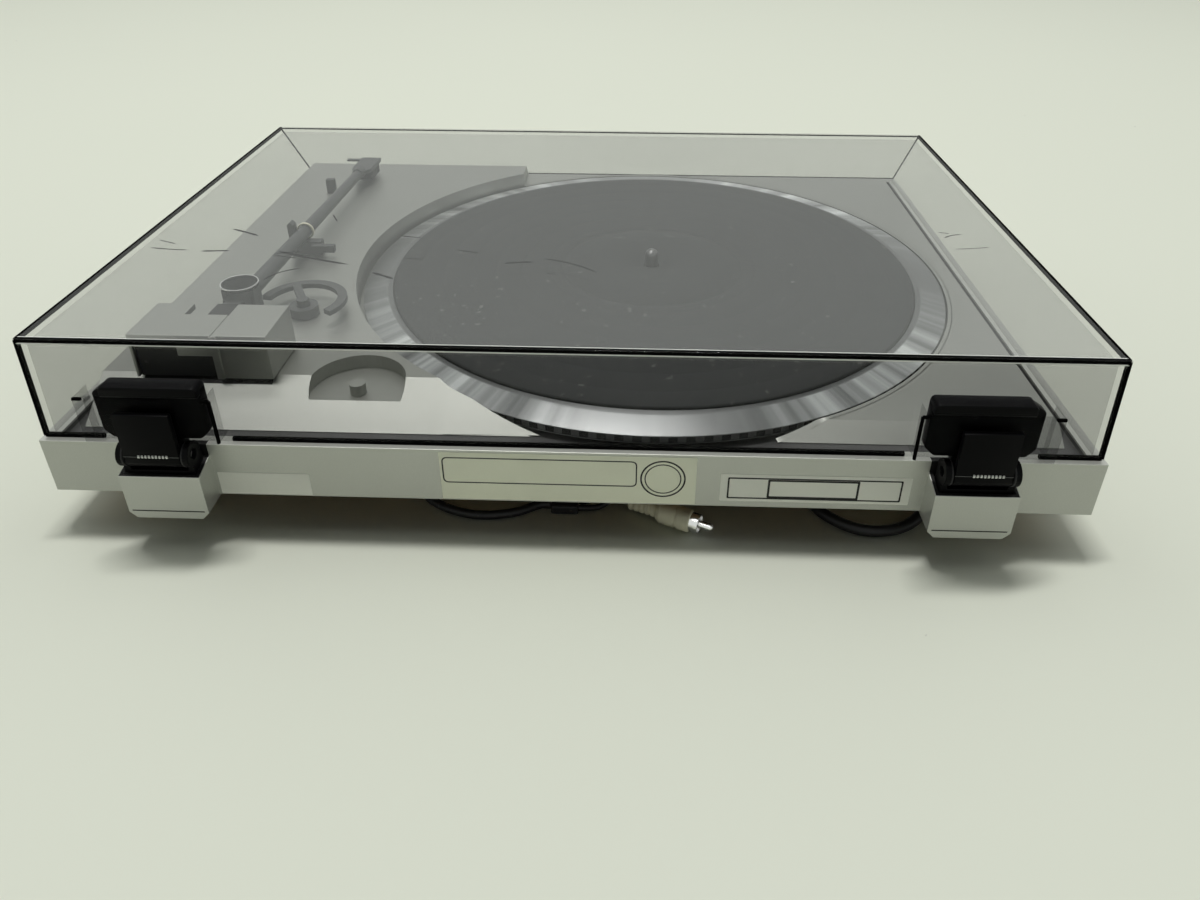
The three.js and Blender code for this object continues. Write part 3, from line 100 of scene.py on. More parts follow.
class StageSettings(bpy.types.PropertyGroup):
    floor_colour: colour_setting("Floor", "Colour of the table under the turntable", (0.725, 0.75, 0.66))
    key_power: FloatProperty(
        name="Key lamp", description="Power of the long lamp above the front",
        subtype="POWER", min=0, default=72)
    room: FloatProperty(
        name="Room light", description="Strength of the even light from all sides", min=0, default=0.02)
    sides: FloatProperty(
        name="Side light", description="Strength of the soft light from the left and the right",
        min=0, default=1.15)
    glow: FloatProperty(
        name="Reflected room", description="Brightness of the room in reflections", min=0, default=0.8)


class FinishSettings(bpy.types.PropertyGroup):
    silver: colour_setting("Silver paint", "Colour of the cabinet and deck", (0.47, 0.48, 0.445))
    # Partly painted shade: the deck is darker than the cabinet for the shadow of the clear cover, which casts
    # none.
    deck_shade_share: share_setting("Deck", "Colour of the deck as a share of the cabinet's", 0.72)
    metal: colour_setting("Aluminium", "Colour of the platter and the front panel", (0.28, 0.287, 0.287))
    smoke: colour_setting("Smoke tint", "Colour of the haze on the clear cover", (0.34, 0.35, 0.34))
    smoke_share: share_setting("Smoke", "Share of the light that one face of the cover holds back", 0.17)
    rubber: colour_setting("Rubber", "Colour of the mat and the feet", (0.035, 0.037, 0.037))
    arm: colour_setting("Tonearm", "Colour of the tonearm and its rest", (0.075, 0.078, 0.078))
    paper: colour_setting("Sticker", "Colour of the blank stickers", (0.93, 0.95, 0.79))


class PieceSettings(bpy.types.PropertyGroup):
    lathe_steps: IntProperty(
        name="Turned facets", description="Facets round the platter", min=48, max=512, default=288)
    mat_ring_pitch: length_setting(
        "Mat ring pitch", "From one moulded ring of the mat to the next", 0.001, 0.0145)
    edge: length_setting("Edge rounding", "Width of the rounding on moulded and pressed edges", 0, 0.0005)
    sticker_thickness: length_setting(
        "Sticker thickness", "How far a sticker stands proud of the wall", 0, 0.00012)


# Mesh tools


def finished(name, shape, finish, body, sharp=30, replaces=()):
    """An object from a shape's vertices and faces, in a finish, smooth but for edges past the sharp
    angle. It rides on a body and may stand for nodes."""
    verts, faces = shape
    mesh = bpy.data.meshes.new(name)
    mesh.from_pydata(np.asarray(verts, float).tolist(), [], [list(map(int, face)) for face in faces])
    work = bmesh.new()
    work.from_mesh(mesh)
    bmesh.ops.remove_doubles(work, verts=work.verts, dist=1e-7)
    bmesh.ops.dissolve_degenerate(work, edges=work.edges, dist=1e-8)
    bmesh.ops.recalc_face_normals(work, faces=work.faces)
    work.to_mesh(mesh)
    work.free()
    mesh.polygons.foreach_set("use_smooth", np.ones(len(mesh.polygons), bool))
    mesh.set_sharp_from_angle(angle=math.radians(sharp))
    mesh.materials.append(FINISH[finish])
    obj = bpy.data.objects.new(name, mesh)
    bpy.context.scene.collection.objects.link(obj)
    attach(obj, body)
    if replaces:
        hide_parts(*replaces)
    return obj


def grid_faces(rows, columns, wrap):
    """Quads between neighbouring rows and columns of a grid, the columns closed where wrap is true."""
    r, c = np.meshgrid(np.arange(rows - 1), np.arange(columns if wrap else columns - 1), indexing="ij")
    after = (c + 1) % columns
    here, above = r * columns, (r + 1) * columns
    return np.stack([here + c, here + after, above + after, above + c], -1).reshape(-1, 4)


def capped_rows(rows, columns):
    """Faces of closed rings, one after the other, with a flat end at the first and the last."""
    ring = list(range(columns))
    last = (rows - 1) * columns
    return [*grid_faces(rows, columns, True).tolist(), ring[::-1], [last + k for k in ring]]


def closed_rows(rows, steps):
    """Faces of a turned closed outline, the last row joined to the first."""
    return grid_faces(rows + 1, steps, True) % (rows * steps)


def fillet(points, reach, arcs=4):
    """A closed outline with each corner turned into a curve: the blend (1-t)^2 A + 2t(1-t) B + t^2 C
    of the corner B and of points A and C at a reach along its two sides, t from 0 to 1."""
    corner = np.asarray(points, float)
    before, after = np.roll(corner, 1, 0) - corner, np.roll(corner, -1, 0) - corner
    sizes = [np.linalg.norm(side, axis=1, keepdims=True) for side in (before, after)]
    reach = np.minimum(np.broadcast_to(np.reshape(reach, (-1, 1)), sizes[0].shape), 0.45 * np.minimum(*sizes))
    a, c = corner + before / sizes[0] * reach, corner + after / sizes[1] * reach
    t = np.linspace(0, 1, arcs + 1)[None, :, None]
    curve = (1 - t) ** 2 * a[:, None] + 2 * t * (1 - t) * corner[:, None] + t**2 * c[:, None]
    return curve.reshape(-1, 2)


def turned(outline, steps, centre, way=(0, 0, 1)):
    """A closed outline of [radius, height] turned about an axis: x = r cos a, y = r sin a, z = h."""
    outline = np.asarray(outline, float)
    angle = np.linspace(0, 2 * np.pi, steps, endpoint=False)
    r, h = outline[:, :1], outline[:, 1:]
    points = np.stack([r * np.cos(angle), r * np.sin(angle), h + 0 * angle], -1).reshape(-1, 3)
    turn = np.array(Vector(way).to_track_quat("Z", "Y").to_matrix())
    return points @ turn.T + np.asarray(centre), closed_rows(len(outline), steps)


def lathe(outline, corner, arcs, steps, centre, way=(0, 0, 1)):
    """A closed outline of [radius, height] in millimetres, its corners rounded, turned about an axis."""
    return turned(fillet(np.array(outline) * MM, corner * MM, arcs), steps, centre, way)


def outset(outline, distance):
    """An outline moved along its own corner normals, outwards for a positive distance."""
    side = np.roll(outline, -1, 0) - outline
    side = side / np.maximum(np.linalg.norm(side, axis=1, keepdims=True), 1e-12)
    mean = side + np.roll(side, 1, 0)
    mean = mean / np.maximum(np.linalg.norm(mean, axis=1, keepdims=True), 1e-12)
    turn = 1 if signed_area(outline) > 0 else -1
    return outline + turn * distance * np.stack([mean[:, 1], -mean[:, 0]], -1)


def signed_area(outline):
    """Area of an outline, positive where it runs anticlockwise: half the sum of x y' - y x'."""
    x, y = outline[:, 0], outline[:, 1]
    return 0.5 * np.sum(x * np.roll(y, -1) - y * np.roll(x, -1))


def rounded_rectangle(width, height, corner, centre=(0, 0), arcs=5):
    """Corners of a rectangle with rounded corners, anticlockwise."""
    w, h = width / 2, height / 2
    return fillet([[w, h], [-w, h], [-w, -h], [w, -h]], corner, arcs) + np.asarray(centre)


def slab(outline, low, high, edge, axes):
    """An outline carried from a low to a high level along a third axis, its rims drawn in by edge:
    rings at low, low + edge, high - edge and high, and two flat ends. axes maps (u, v, w) to x, y, z."""
    eased = edge * 0.3
    levels = [(low, -edge), (low + eased, -eased), (low + edge, 0),
              (high - edge, 0), (high - eased, -eased), (high, -edge)]
    count = len(outline)
    rings = [np.column_stack([outset(outline, inset), np.full(count, level)]) for level, inset in levels]
    return np.concatenate(rings) @ np.asarray(axes, float), capped_rows(len(levels), count)


ACROSS_REAR = [[1, 0, 0], [0, 0, 1], [0, 1, 0]]  # u along X, v along Z, w along Y
ALONG_X = [[0, 1, 0], [0, 0, 1], [1, 0, 0]]  # u along Y, v along Z, w along X


def bar(start, end, width, height):
    """A straight bar of rectangular section between two points, its corners eased."""
    start, end = np.asarray(start, float), np.asarray(end, float)
    way = (end - start) / np.linalg.norm(end - start)
    up = np.array([0, 0, 1.0]) if abs(way[2]) < 0.9 else np.array([0, 1.0, 0])
    side = np.cross(way, up)
    side /= np.linalg.norm(side)
    section = rounded_rectangle(width, height, 0.2 * min(width, height), arcs=2)
    verts, faces = slab(section, 0, np.linalg.norm(end - start), 0.02 * MM, [side, np.cross(side, way), way])
    return verts + start, faces


def join_parts(parts):
    """Vertices and faces of several shapes as one."""
    verts, faces, start = [], [], 0
    for points, quads in parts:
        verts.append(points)
        faces += [[int(i) + start for i in face] for face in quads]
        start += len(points)
    return np.concatenate(verts), faces


def smooth_path(points, spacing):
    """A centripetal Catmull-Rom curve through points: each stretch blends the lines through its four
    neighbouring points over knots a square root of their distance apart, sampled at a spacing."""
    p = np.asarray(points, float)
    p = np.vstack([2 * p[0] - p[1], p, 2 * p[-1] - p[-2]])
    knots = np.sqrt(np.linalg.norm(np.diff(p, axis=0), axis=1))
    pieces = []
    for i in range(1, len(p) - 2):
        k = np.concatenate([[0], np.cumsum(knots[i - 1:i + 2])])
        count = max(2, int(np.ceil(np.linalg.norm(p[i + 1] - p[i]) / spacing)) + 1)
        t = np.linspace(k[1], k[2], count)[:-1, None]
        a = [((k[j + 1] - t) * p[i - 1 + j] + (t - k[j]) * p[i + j]) / (k[j + 1] - k[j]) for j in range(3)]
        b = [((k[j + 2] - t) * a[j] + (t - k[j]) * a[j + 1]) / (k[j + 2] - k[j]) for j in range(2)]
        pieces.append(((k[2] - t) * b[0] + (t - k[1]) * b[1]) / (k[2] - k[1]))
    return np.vstack([*pieces, p[-2]])


def tube(path, radius, sides=12):
    """Rings carried along a path: centre + r (cos a side + sin a up), the side level and across the
    path's heading, with flat ends. radius is one number or one for each point."""
    path = np.asarray(path, float)
    way = np.gradient(path, axis=0)
    way /= np.linalg.norm(way, axis=1, keepdims=True)
    side = np.cross(way, [0, 0, 1.0])
    side /= np.linalg.norm(side, axis=1, keepdims=True)
    up = np.cross(side, way)
    angle = np.linspace(0, 2 * np.pi, sides, endpoint=False)[:, None]
    r = np.broadcast_to(radius, len(path))[:, None, None]
    rings = path[:, None] + r * (np.cos(angle) * side[:, None] + np.sin(angle) * up[:, None])
    return rings.reshape(-1, 3), capped_rows(len(path), sides)


def soften(name, width, angle=40):
    """Rounds the edges of a solid from the frame with modifiers alone."""
    obj = nodes[name]
    weld = obj.modifiers.new("weld", "WELD")
    weld.merge_threshold = 1e-6
    flat = obj.modifiers.new("flat", "DECIMATE")
    flat.decimate_type = "DISSOLVE"
    flat.angle_limit = math.radians(1)
    bevel = obj.modifiers.new("edge", "BEVEL")
    bevel.width = width
    bevel.segments = 2
    bevel.limit_method = "ANGLE"
    bevel.angle_limit = math.radians(angle)
    bevel.harden_normals = False


# Materials


class Value:
    """A socket of a material, with the arithmetic that its patterns need."""

    def __init__(self, tree, socket):
        self.tree, self.socket = tree, socket

    def math(self, operation, *others):
        """The result of a Math node, whose first input is this value."""
        return self.tree.add("ShaderNodeMath", {"operation": operation}, self, *others)

    def __add__(self, other):
        return self.math("ADD", other)

    def __sub__(self, other):
        return self.math("SUBTRACT", other)

    def __mul__(self, other):
        return self.math("MULTIPLY", other)

    def __truediv__(self, other):
        return self.math("DIVIDE", other)

    def __pow__(self, other):
        return self.math("POWER", other)

    def __rsub__(self, other):
        return self.tree.add("ShaderNodeMath", {"operation": "SUBTRACT"}, other, self)

    __radd__, __rmul__ = __add__, __mul__

    def above(self, edge, soft=1e-5):
        """0 below an edge and 1 above it, over a soft width."""
        low, high = edge - soft / 2, edge + soft / 2
        return self.tree.add("ShaderNodeMapRange", {"clamp": True}, self, low, high, 0.0, 1.0)

    def below(self, edge, soft=1e-5):
        """1 below an edge and 0 above it, over a soft width."""
        return 1 - self.above(edge, soft)

    def within(self, low, high):
        """1 between two edges and 0 outside them."""
        return self.above(low) * self.below(high)


class Nodes:
    """A node tree, whose nodes are made with add."""

    def __init__(self, tree):
        self.nodes, self.links = tree.nodes, tree.links

    def add(self, kind, settings, *inputs, output=0):
        """A node of a kind, with its settings made first and then its inputs, in order; None skips one."""
        node = self.nodes.new(kind)
        for key, value in settings.items():
            setattr(node, key, value)
        live = [socket for socket in node.inputs if socket.enabled]
        for socket, value in zip(live, inputs):
            self.feed(socket, value)
        return Value(self, node.outputs[output])

    def feed(self, socket, value):
        """Links a socket, or sets it: a colour gets its fourth value, None leaves it as it is."""
        if isinstance(value, Value):
            self.links.new(value.socket, socket)
        elif value is not None:
            socket.default_value = (*value, 1) if socket.type == "RGBA" and len(value) == 3 else value

    def parts(self, vector):
        """X, Y and Z of a vector."""
        outputs = self.add("ShaderNodeSeparateXYZ", {}, vector).socket.node.outputs
        return [Value(self, output) for output in outputs]


class Surface(Nodes):
    """A material with one Principled shader."""

    def __init__(self, name, **plain):
        self.material = bpy.data.materials.new(name)
        self.material.use_nodes = True
        super().__init__(self.material.node_tree)
        self.shader = self.nodes["Principled BSDF"]
        self.set(**plain)
        self.object = self.add("ShaderNodeTexCoord", {}, output="Object")

    def set(self, **inputs):
        """Feeds the shader's sockets, named with underscores for their spaces."""
        for key, value in inputs.items():
            self.feed(self.shader.inputs[key.replace("_", " ")], value)

    def axes(self):
        """X, Y and Z of the place on the piece."""
        return self.parts(self.object)

    def noise(self, scale, detail=2.0, roughness=0.5, vector=None):
        """Cloudy noise over the piece, or over another vector."""
        return self.add("ShaderNodeTexNoise", {}, vector or self.object, scale, detail, roughness)

    def stretched(self, scales, turn=(0, 0, 0)):
        """The place on the piece, turned and then stretched along its three axes."""
        return self.add("ShaderNodeMapping", {}, self.object, None, turn, scales)

    def along(self, x, y, z):
        """A vector from three values."""
        return self.add("ShaderNodeCombineXYZ", {}, x, y, z)

    def mix(self, share, first, second):
        """A colour between two, by a share of the second."""
        node = self.add("ShaderNodeMix", {"data_type": "RGBA"}, share, first, second).socket.node
        return Value(self, next(socket for socket in node.outputs if socket.enabled))

    def bump(self, height, distance, strength):
        """A normal from a height, over a distance in metres."""
        node = self.add("ShaderNodeBump", {}).socket.node
        node.inputs["Strength"].default_value = strength
        node.inputs["Distance"].default_value = distance
        self.feed(node.inputs["Height"], height)
        return Value(self, node.outputs[0])

    def radius(self, centre):
        """Distance of the place from a vertical axis."""
        x, y, _ = self.axes()
        dx, dy = x - centre[0], y - centre[1]
        return (dx * dx + dy * dy).math("SQRT")


def shade(colour, factor):
    """A colour made lighter or darker."""
    return tuple(min(1.0, part * factor) for part in colour)


def painted_shade_insides(s):
    """Masks of the faces painted dark as shade, and their grey: the cabinet's inside below its rim, and
    the inside of the hinges' housings."""
    x, y, z = s.axes()
    wall, lip = 2.6 * MM, 1 * MM
    wide, deep, tall = 16.4 * MM, 11.1 * MM, 24 * MM
    side = x.math("ABSOLUTE")
    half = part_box("cabinet")[1][0] - wall
    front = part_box("front_panel")[1][1] + lip
    inside = side.below(half) * y.within(front, REAR - wall) * z.below(RIM - lip)
    off = (side - HINGE).math("ABSOLUTE")
    housing = off.below(wide) * y.within(REAR - wall, REAR + deep) * z.above(RIM - tall)
    return (inside, 0.11), (housing, 0.01)


def shade_under_hood(s):
    """Mask of the deck below the cover of the tonearm's bearing, and its grey: painted shade, near black."""
    x, y, _ = s.axes()
    low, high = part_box("arm_cover")
    wall = 1.5 * MM
    return ((x.within(low[0] + wall, high[0] - wall) * y.within(low[1] - wall, high[1] - wall), 0.02),)


def silver_paint(name, colour, metallic, bare=None):
    """Sprayed silver: fine metallic grain, a faint cloud of wear and small scuffs. bare gives masks of
    the faces painted dark as shade, each with its grey."""
    s = Surface(name, Metallic=metallic)
    grain = s.noise(2600, 2, 0.6)
    cloud = s.noise(9, 4, 0.55)
    scuff = s.noise(46, 6, 0.7).above(0.67, 0.06)
    tone = s.mix(cloud.above(0.5, 0.5), shade(colour, 0.95), shade(colour, 1.04))
    tone = s.mix(grain.above(0.52, 0.25) * 0.35, tone, shade(colour, 1.25))
    tone = s.mix(scuff * 0.22, tone, shade(colour, 0.72))
    if bare:
        for mask, grey in bare(s):
            tone = s.mix(mask, tone, (grey, grey, grey))
    s.set(Base_Color=tone, Roughness=grain * 0.12 + cloud * 0.08 + 0.32 + scuff * 0.1,
          Normal=s.bump(grain, 0.00006, 0.35))
    return s.material


def turned_aluminium(colour):
    """The platter: fine turning marks round the axis, painted reflection wedges on the bevel outside the
    mat, painted reflection in random angular sectors, and a stroboscope band of dark and bright squares
    round the rim."""
    s = Surface("turned_aluminium", Anisotropic=0.8, Anisotropic_Rotation=0.25)
    r = s.radius(PLATTER)
    x, y, z = s.axes()
    turn = (y - PLATTER.y).math("ARCTAN2", x - PLATTER.x)
    rings = s.noise(1.0, 3, 0.6, s.along(r * 5200, 0.0, z * 900))
    # Painted reflection: random lighter and darker angular sectors, for the lamps' radial sheen on turned
    # metal.
    painted_streak = s.noise(1.0, 3, 0.6, s.along(turn * 9, 0.0, 0.0))
    smudge = s.noise(23, 4, 0.6)

    squares, square_share, border = 133, 0.52, 0.0002
    band_inner, band_low, band_high = 0.1575, RIM - 0.0009, RIM + 0.0021
    square = (turn * (squares / (2 * math.pi))).math("FRACT").above(square_share, 0.04)
    band = r.above(band_inner) * z.within(band_low, band_high + 3 * border)
    dark = band * (1 - square * z.within(band_low + border, band_high))

    bevel = r.above(0.1465, 0.001)
    # Painted reflection: bright wedges on the bevel by |sin 2a|^2 of the angle, for the lamps' sheen there.
    painted_fans = (turn * 2).math("SINE").math("ABSOLUTE") ** 2 * (painted_streak * 0.6 + 0.7)
    tone = s.mix(rings, shade(colour, 0.6), shade(colour, 0.78))
    tone = s.mix(painted_fans * bevel, tone, shade(colour, 3.3))
    tone = s.mix(painted_streak.above(0.5, 0.25), shade(colour, 0.78), tone)
    tone = s.mix(band * 0.5, tone, (0.12, 0.122, 0.12))
    tone = s.mix(dark, tone, (0.004, 0.004, 0.004))
    s.set(Base_Color=tone, Roughness=rings * 0.12 + smudge * 0.1 + 0.26 + dark * 0.25,
          Metallic=0.92 - dark * 0.9, Normal=s.bump(rings, 0.00004, 0.5))
    return s.material


def brushed_panel(colour):
    """The front panel: long straight brush marks across it."""
    s = Surface("brushed_panel", Metallic=0.9)
    marks = s.noise(1.0, 4, 0.6, s.stretched((6, 1800, 1800)))
    s.set(Base_Color=s.mix(marks, shade(colour, 0.82), shade(colour, 1.08)),
          Roughness=marks * 0.2 + 0.24, Normal=s.bump(marks, 0.00003, 0.5))
    return s.material


def plain_metal(name, colour, rough, metallic=0.9):
    """Machined metal: streaks of fine grain and dull patches of handling."""
    s = Surface(name)
    grain, patch = s.noise(1900, 3, 0.6), s.noise(60, 3, 0.5)
    s.set(Base_Color=s.mix(patch, shade(colour, 0.86), shade(colour, 1.08)), Metallic=metallic,
          Roughness=grain * 0.12 + patch * 0.14 + rough - 0.1, Normal=s.bump(grain, 0.00003, 0.35))
    return s.material


def plastic(name, colour, rough, grain_scale=1500, dust=0.12, gloss=0.2):
    """Moulded plastic: a fine moulded grain, slow colour drift and pale dust."""
    s = Surface(name)
    grain, drift = s.noise(grain_scale, 2, 0.5), s.noise(30, 3, 0.5)
    specks = s.noise(420, 2, 0.5).above(0.71, 0.05)
    tone = s.mix(drift, shade(colour, 0.85), shade(colour, 1.15))
    tone = s.mix(specks * dust, tone, (0.5, 0.5, 0.47))
    s.set(Base_Color=tone, Roughness=drift * 0.1 + grain * 0.06 + rough - 0.08 + specks * 0.1,
          Specular_IOR_Level=gloss, Normal=s.bump(grain, 0.00001, 0.15))
    return s.material


def plug_plastic(colour, blade_metal):
    """The mains plug: moulded black, with bare metal on its two blades."""
    s = Surface("mains_plug")
    blade_length = 16.9 * MM
    grain = s.noise(900, 2, 0.5)
    blades = s.axes()[1].below(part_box("mains_plug")[0][1] + blade_length)
    tone = s.mix(grain, shade(colour, 0.85), shade(colour, 1.15))
    s.set(Base_Color=s.mix(blades, tone, blade_metal), Metallic=blades,
          Roughness=grain * 0.1 + 0.5 - blades * 0.25, Normal=s.bump(grain, 0.00002, 0.3))
    return s.material


def rubber(name, colour):
    """Matte rubber with a bloom of dust and a fine tooth."""
    s = Surface(name)
    tooth, bloom = s.noise(1400, 3, 0.65), s.noise(14, 4, 0.6)
    dust = s.noise(260, 2, 0.5).above(0.69, 0.05)
    tone = s.mix(bloom, shade(colour, 0.82), shade(colour, 1.25))
    tone = s.mix(dust * 0.16, tone, (0.4, 0.4, 0.38))
    s.set(Base_Color=tone, Roughness=tooth * 0.14 + 0.66 + bloom * 0.1, Specular_IOR_Level=0.2,
          Normal=s.bump(tooth, 0.00002, 0.3))
    return s.material


def smoked_acrylic(tint, cover_alpha):
    """The cover: a see-through tinted sheet, faintly clouded by wiping marks and rubbed dull in places.
    Its walls get painted shade, darker than its top, and the hinge pockets are painted black as shade."""
    s = Surface("smoked_acrylic", Alpha=cover_alpha, IOR=1.49, Specular_IOR_Level=0.3)
    wiping = s.noise(1.0, 4, 0.6, s.stretched((9, 2.5, 9), (0, 0, 0.5)))
    cloud = s.noise(6, 4, 0.55)
    rubbed = s.noise(90, 3, 0.6).above(0.6, 0.2)
    _, y, z = s.axes()
    sheet = z.above(COVER[1][2] - 3.2 * MM)
    pocket = y.above(REAR + 0.5 * MM)
    tone = s.mix(cloud.above(0.5, 0.6), shade(tint, 0.94), shade(tint, 1.06))
    tone = s.mix(wiping.above(0.5, 0.5) * 0.3, tone, shade(tint, 1.12))
    # Painted shade: below the top sheet the walls are near black, as they take less light than the top.
    tone = s.mix(sheet, (0.03, 0.031, 0.03), tone)
    # Painted shade: the hinge pockets are black and metallic, with no haze over the black leaves.
    s.set(Base_Color=s.mix(pocket, tone, (0.004, 0.004, 0.004)), Metallic=pocket,
          Roughness=rubbed * 0.06 + wiping * 0.05 + 0.04)
    return s.material


def paper(name, colour):
    """Sticker stock: a slight fibre, toned by age."""
    s = Surface(name)
    fibre, age = s.noise(900, 3, 0.6), s.noise(45, 3, 0.5)
    tone = s.mix(age, shade(colour, 0.93), shade(colour, 1.05))
    s.set(Base_Color=s.mix(fibre * 0.2, tone, shade(colour, 0.8)), Roughness=fibre * 0.15 + 0.42,
          Normal=s.bump(fibre, 0.00003, 0.3))
    return s.material


def fibre_board(colour):
    """Pressed board: short fibres, light and dark."""
    s = Surface("fibre_board")
    fibre, blotch = s.noise(700, 5, 0.7), s.noise(60, 3, 0.6)
    tone = s.mix(fibre, shade(colour, 0.7), shade(colour, 1.25))
    s.set(Base_Color=s.mix(blotch * 0.4, tone, shade(colour, 0.85)), Roughness=fibre * 0.15 + 0.72,
          Normal=s.bump(fibre, 0.00012, 0.6))
    return s.material


FINISH = {}  # filled by make_finishes


def make_finishes(look):
    """All the materials, by the names that the pieces below call for."""
    FINISH.update(
        # The cabinet takes painted shade inside its rim and in the hinges' housings.
        silver=silver_paint("silver_paint", look.silver, 0.6, painted_shade_insides),
        # The deck and the bearing's cover are a darker silver than the cabinet, partly as painted shade for
        # the clear cover over them, which casts no shadow.
        deck=silver_paint("deck_paint", shade(look.silver, look.deck_shade_share), 0.95, shade_under_hood),
        hood=silver_paint("hood_paint", shade(look.silver, look.deck_shade_share), 0.95),
        platter=turned_aluminium(look.metal),
        panel=brushed_panel(look.metal),
        steel=plain_metal("steel", (0.55, 0.55, 0.54), 0.3),
        chrome=plain_metal("bright_rim", (0.82, 0.82, 0.82), 0.2, 1.0),
        # Painted shade: the spindle's steel is darker than the other steel, so it shows as dark as the mat it
        # reflects.
        spindle=plain_metal("spindle_steel", (0.17, 0.17, 0.17), 0.32),
        gloss=plastic("black_gloss", (0.003, 0.003, 0.0035), 0.4, 1800, 0.0, 0.05),
        matte=plastic("black_matte", (0.022, 0.022, 0.023), 0.55, 1200, 0.1),
        arm=plain_metal("dark_arm", look.arm, 0.42, 0.45),
        plug=plug_plastic((0.022, 0.022, 0.023), (0.62, 0.6, 0.5)),
        rubber=rubber("mat_rubber", look.rubber),
        foot=rubber("foot_rubber", shade(look.rubber, 0.7)),
        cover=smoked_acrylic(look.smoke, look.smoke_share),
        board=fibre_board((0.33, 0.22, 0.12)),
        core=plain_metal("transformer_core", (0.2, 0.17, 0.13), 0.6, 0.4),
        magnet=plastic("magnet", (0.06, 0.06, 0.063), 0.6),
        coil=plain_metal("coil_wire", (0.5, 0.22, 0.09), 0.35, 0.8),
        circuit=plastic("circuit_board", (0.05, 0.13, 0.06), 0.45),
        cream=plastic("cream_plastic", (0.82, 0.79, 0.62), 0.4, 1500, 0.04),
        sheath=plastic("lead_sheath", (0.02, 0.02, 0.021), 0.45, 900, 0.1),
        paper=paper("sticker_paper", look.paper),
        white_paper=paper("white_sticker", (0.9, 0.91, 0.85)),
        # Painted highlight: near white turns stand for the glint on the hinge spring's steel.
        bright=plastic("painted_glint_turns", (0.85, 0.86, 0.84), 0.35, 1500, 0.0),
        ink=plastic("sticker_ink", (0.02, 0.02, 0.02), 0.5, 1500, 0.02),
        scratch=plastic("scratch", (0.012, 0.012, 0.012), 0.5, 1500, 0.0),
        # Painted shade: black bars where the cover's edges look dark.
        cut_edge=plastic("cover_edge", (0.003, 0.003, 0.003), 0.5, 1500, 0.0, 0.0),
        # Painted highlight: pale lines beside the cover's edge.
        glint=plastic("painted_edge_glint", (0.8, 0.82, 0.78), 0.3, 1500, 0.0),
    )


NODE_FINISH = {
    "silver": ["cabinet"],
    "deck": ["deck"],
    "hood": ["arm_cover"],
    "panel": ["front_panel"],
    "steel": ["hinge_pin_left", "hinge_pin_right", "spindle_bearing"],
    "gloss": ["hinge_bracket_left", "hinge_bracket_right", "power_button", "speed_33_button",
              "speed_45_button", "stop_button", "pitch_knob"],
    "matte": ["arm_cover_back", "counterweight", "cartridge", "stylus", "mains_lead_clamp",
              "audio_lead_clamp", "audio_joiner", "thrust_pad"],
    "plug": ["mains_plug"],
    "arm": ["arm_hub", "arm_pillar", "arm_gimbal", "headshell", "arm_rest", "arm_clip", "lift_arc",
            "lift_housing", "cue_lever"],
    "cover": ["dust_cover"],
    "board": ["bottom_board"],
    "core": ["transformer"],
    "magnet": ["rotor_magnet"],
    "coil": ["motor_stator"],
    "circuit": ["control_board"],
}
# How much of the edge rounding each solid that stays in view gets
ROUNDED = {
    1.5: ["mains_plug", "mains_lead_clamp", "audio_lead_clamp", "audio_joiner"],
    1.2: ["cabinet", "arm_cover"],
    1.0: ["hinge_bracket_left", "hinge_bracket_right", "power_button", "speed_33_button",
          "speed_45_button", "stop_button", "counterweight", "transformer"],
    0.8: ["arm_rest", "arm_clip", "cartridge", "cue_lever"],
    0.6: ["front_panel", "headshell", "lift_arc", "dust_cover"],
}


LENS = {
    "sensor_width": 36, "lens": 26.223, "shift_x": -0.00692, "shift_y": -0.10417,
    "clip_start": 0.01, "clip_end": 30,
}
EYE = (-0.02656, 0.45392, 0.26165)
BEARING, TILT, ROLL = 181.8112, 61.0144, 0.2116  # of the camera, its tilt up from looking straight down


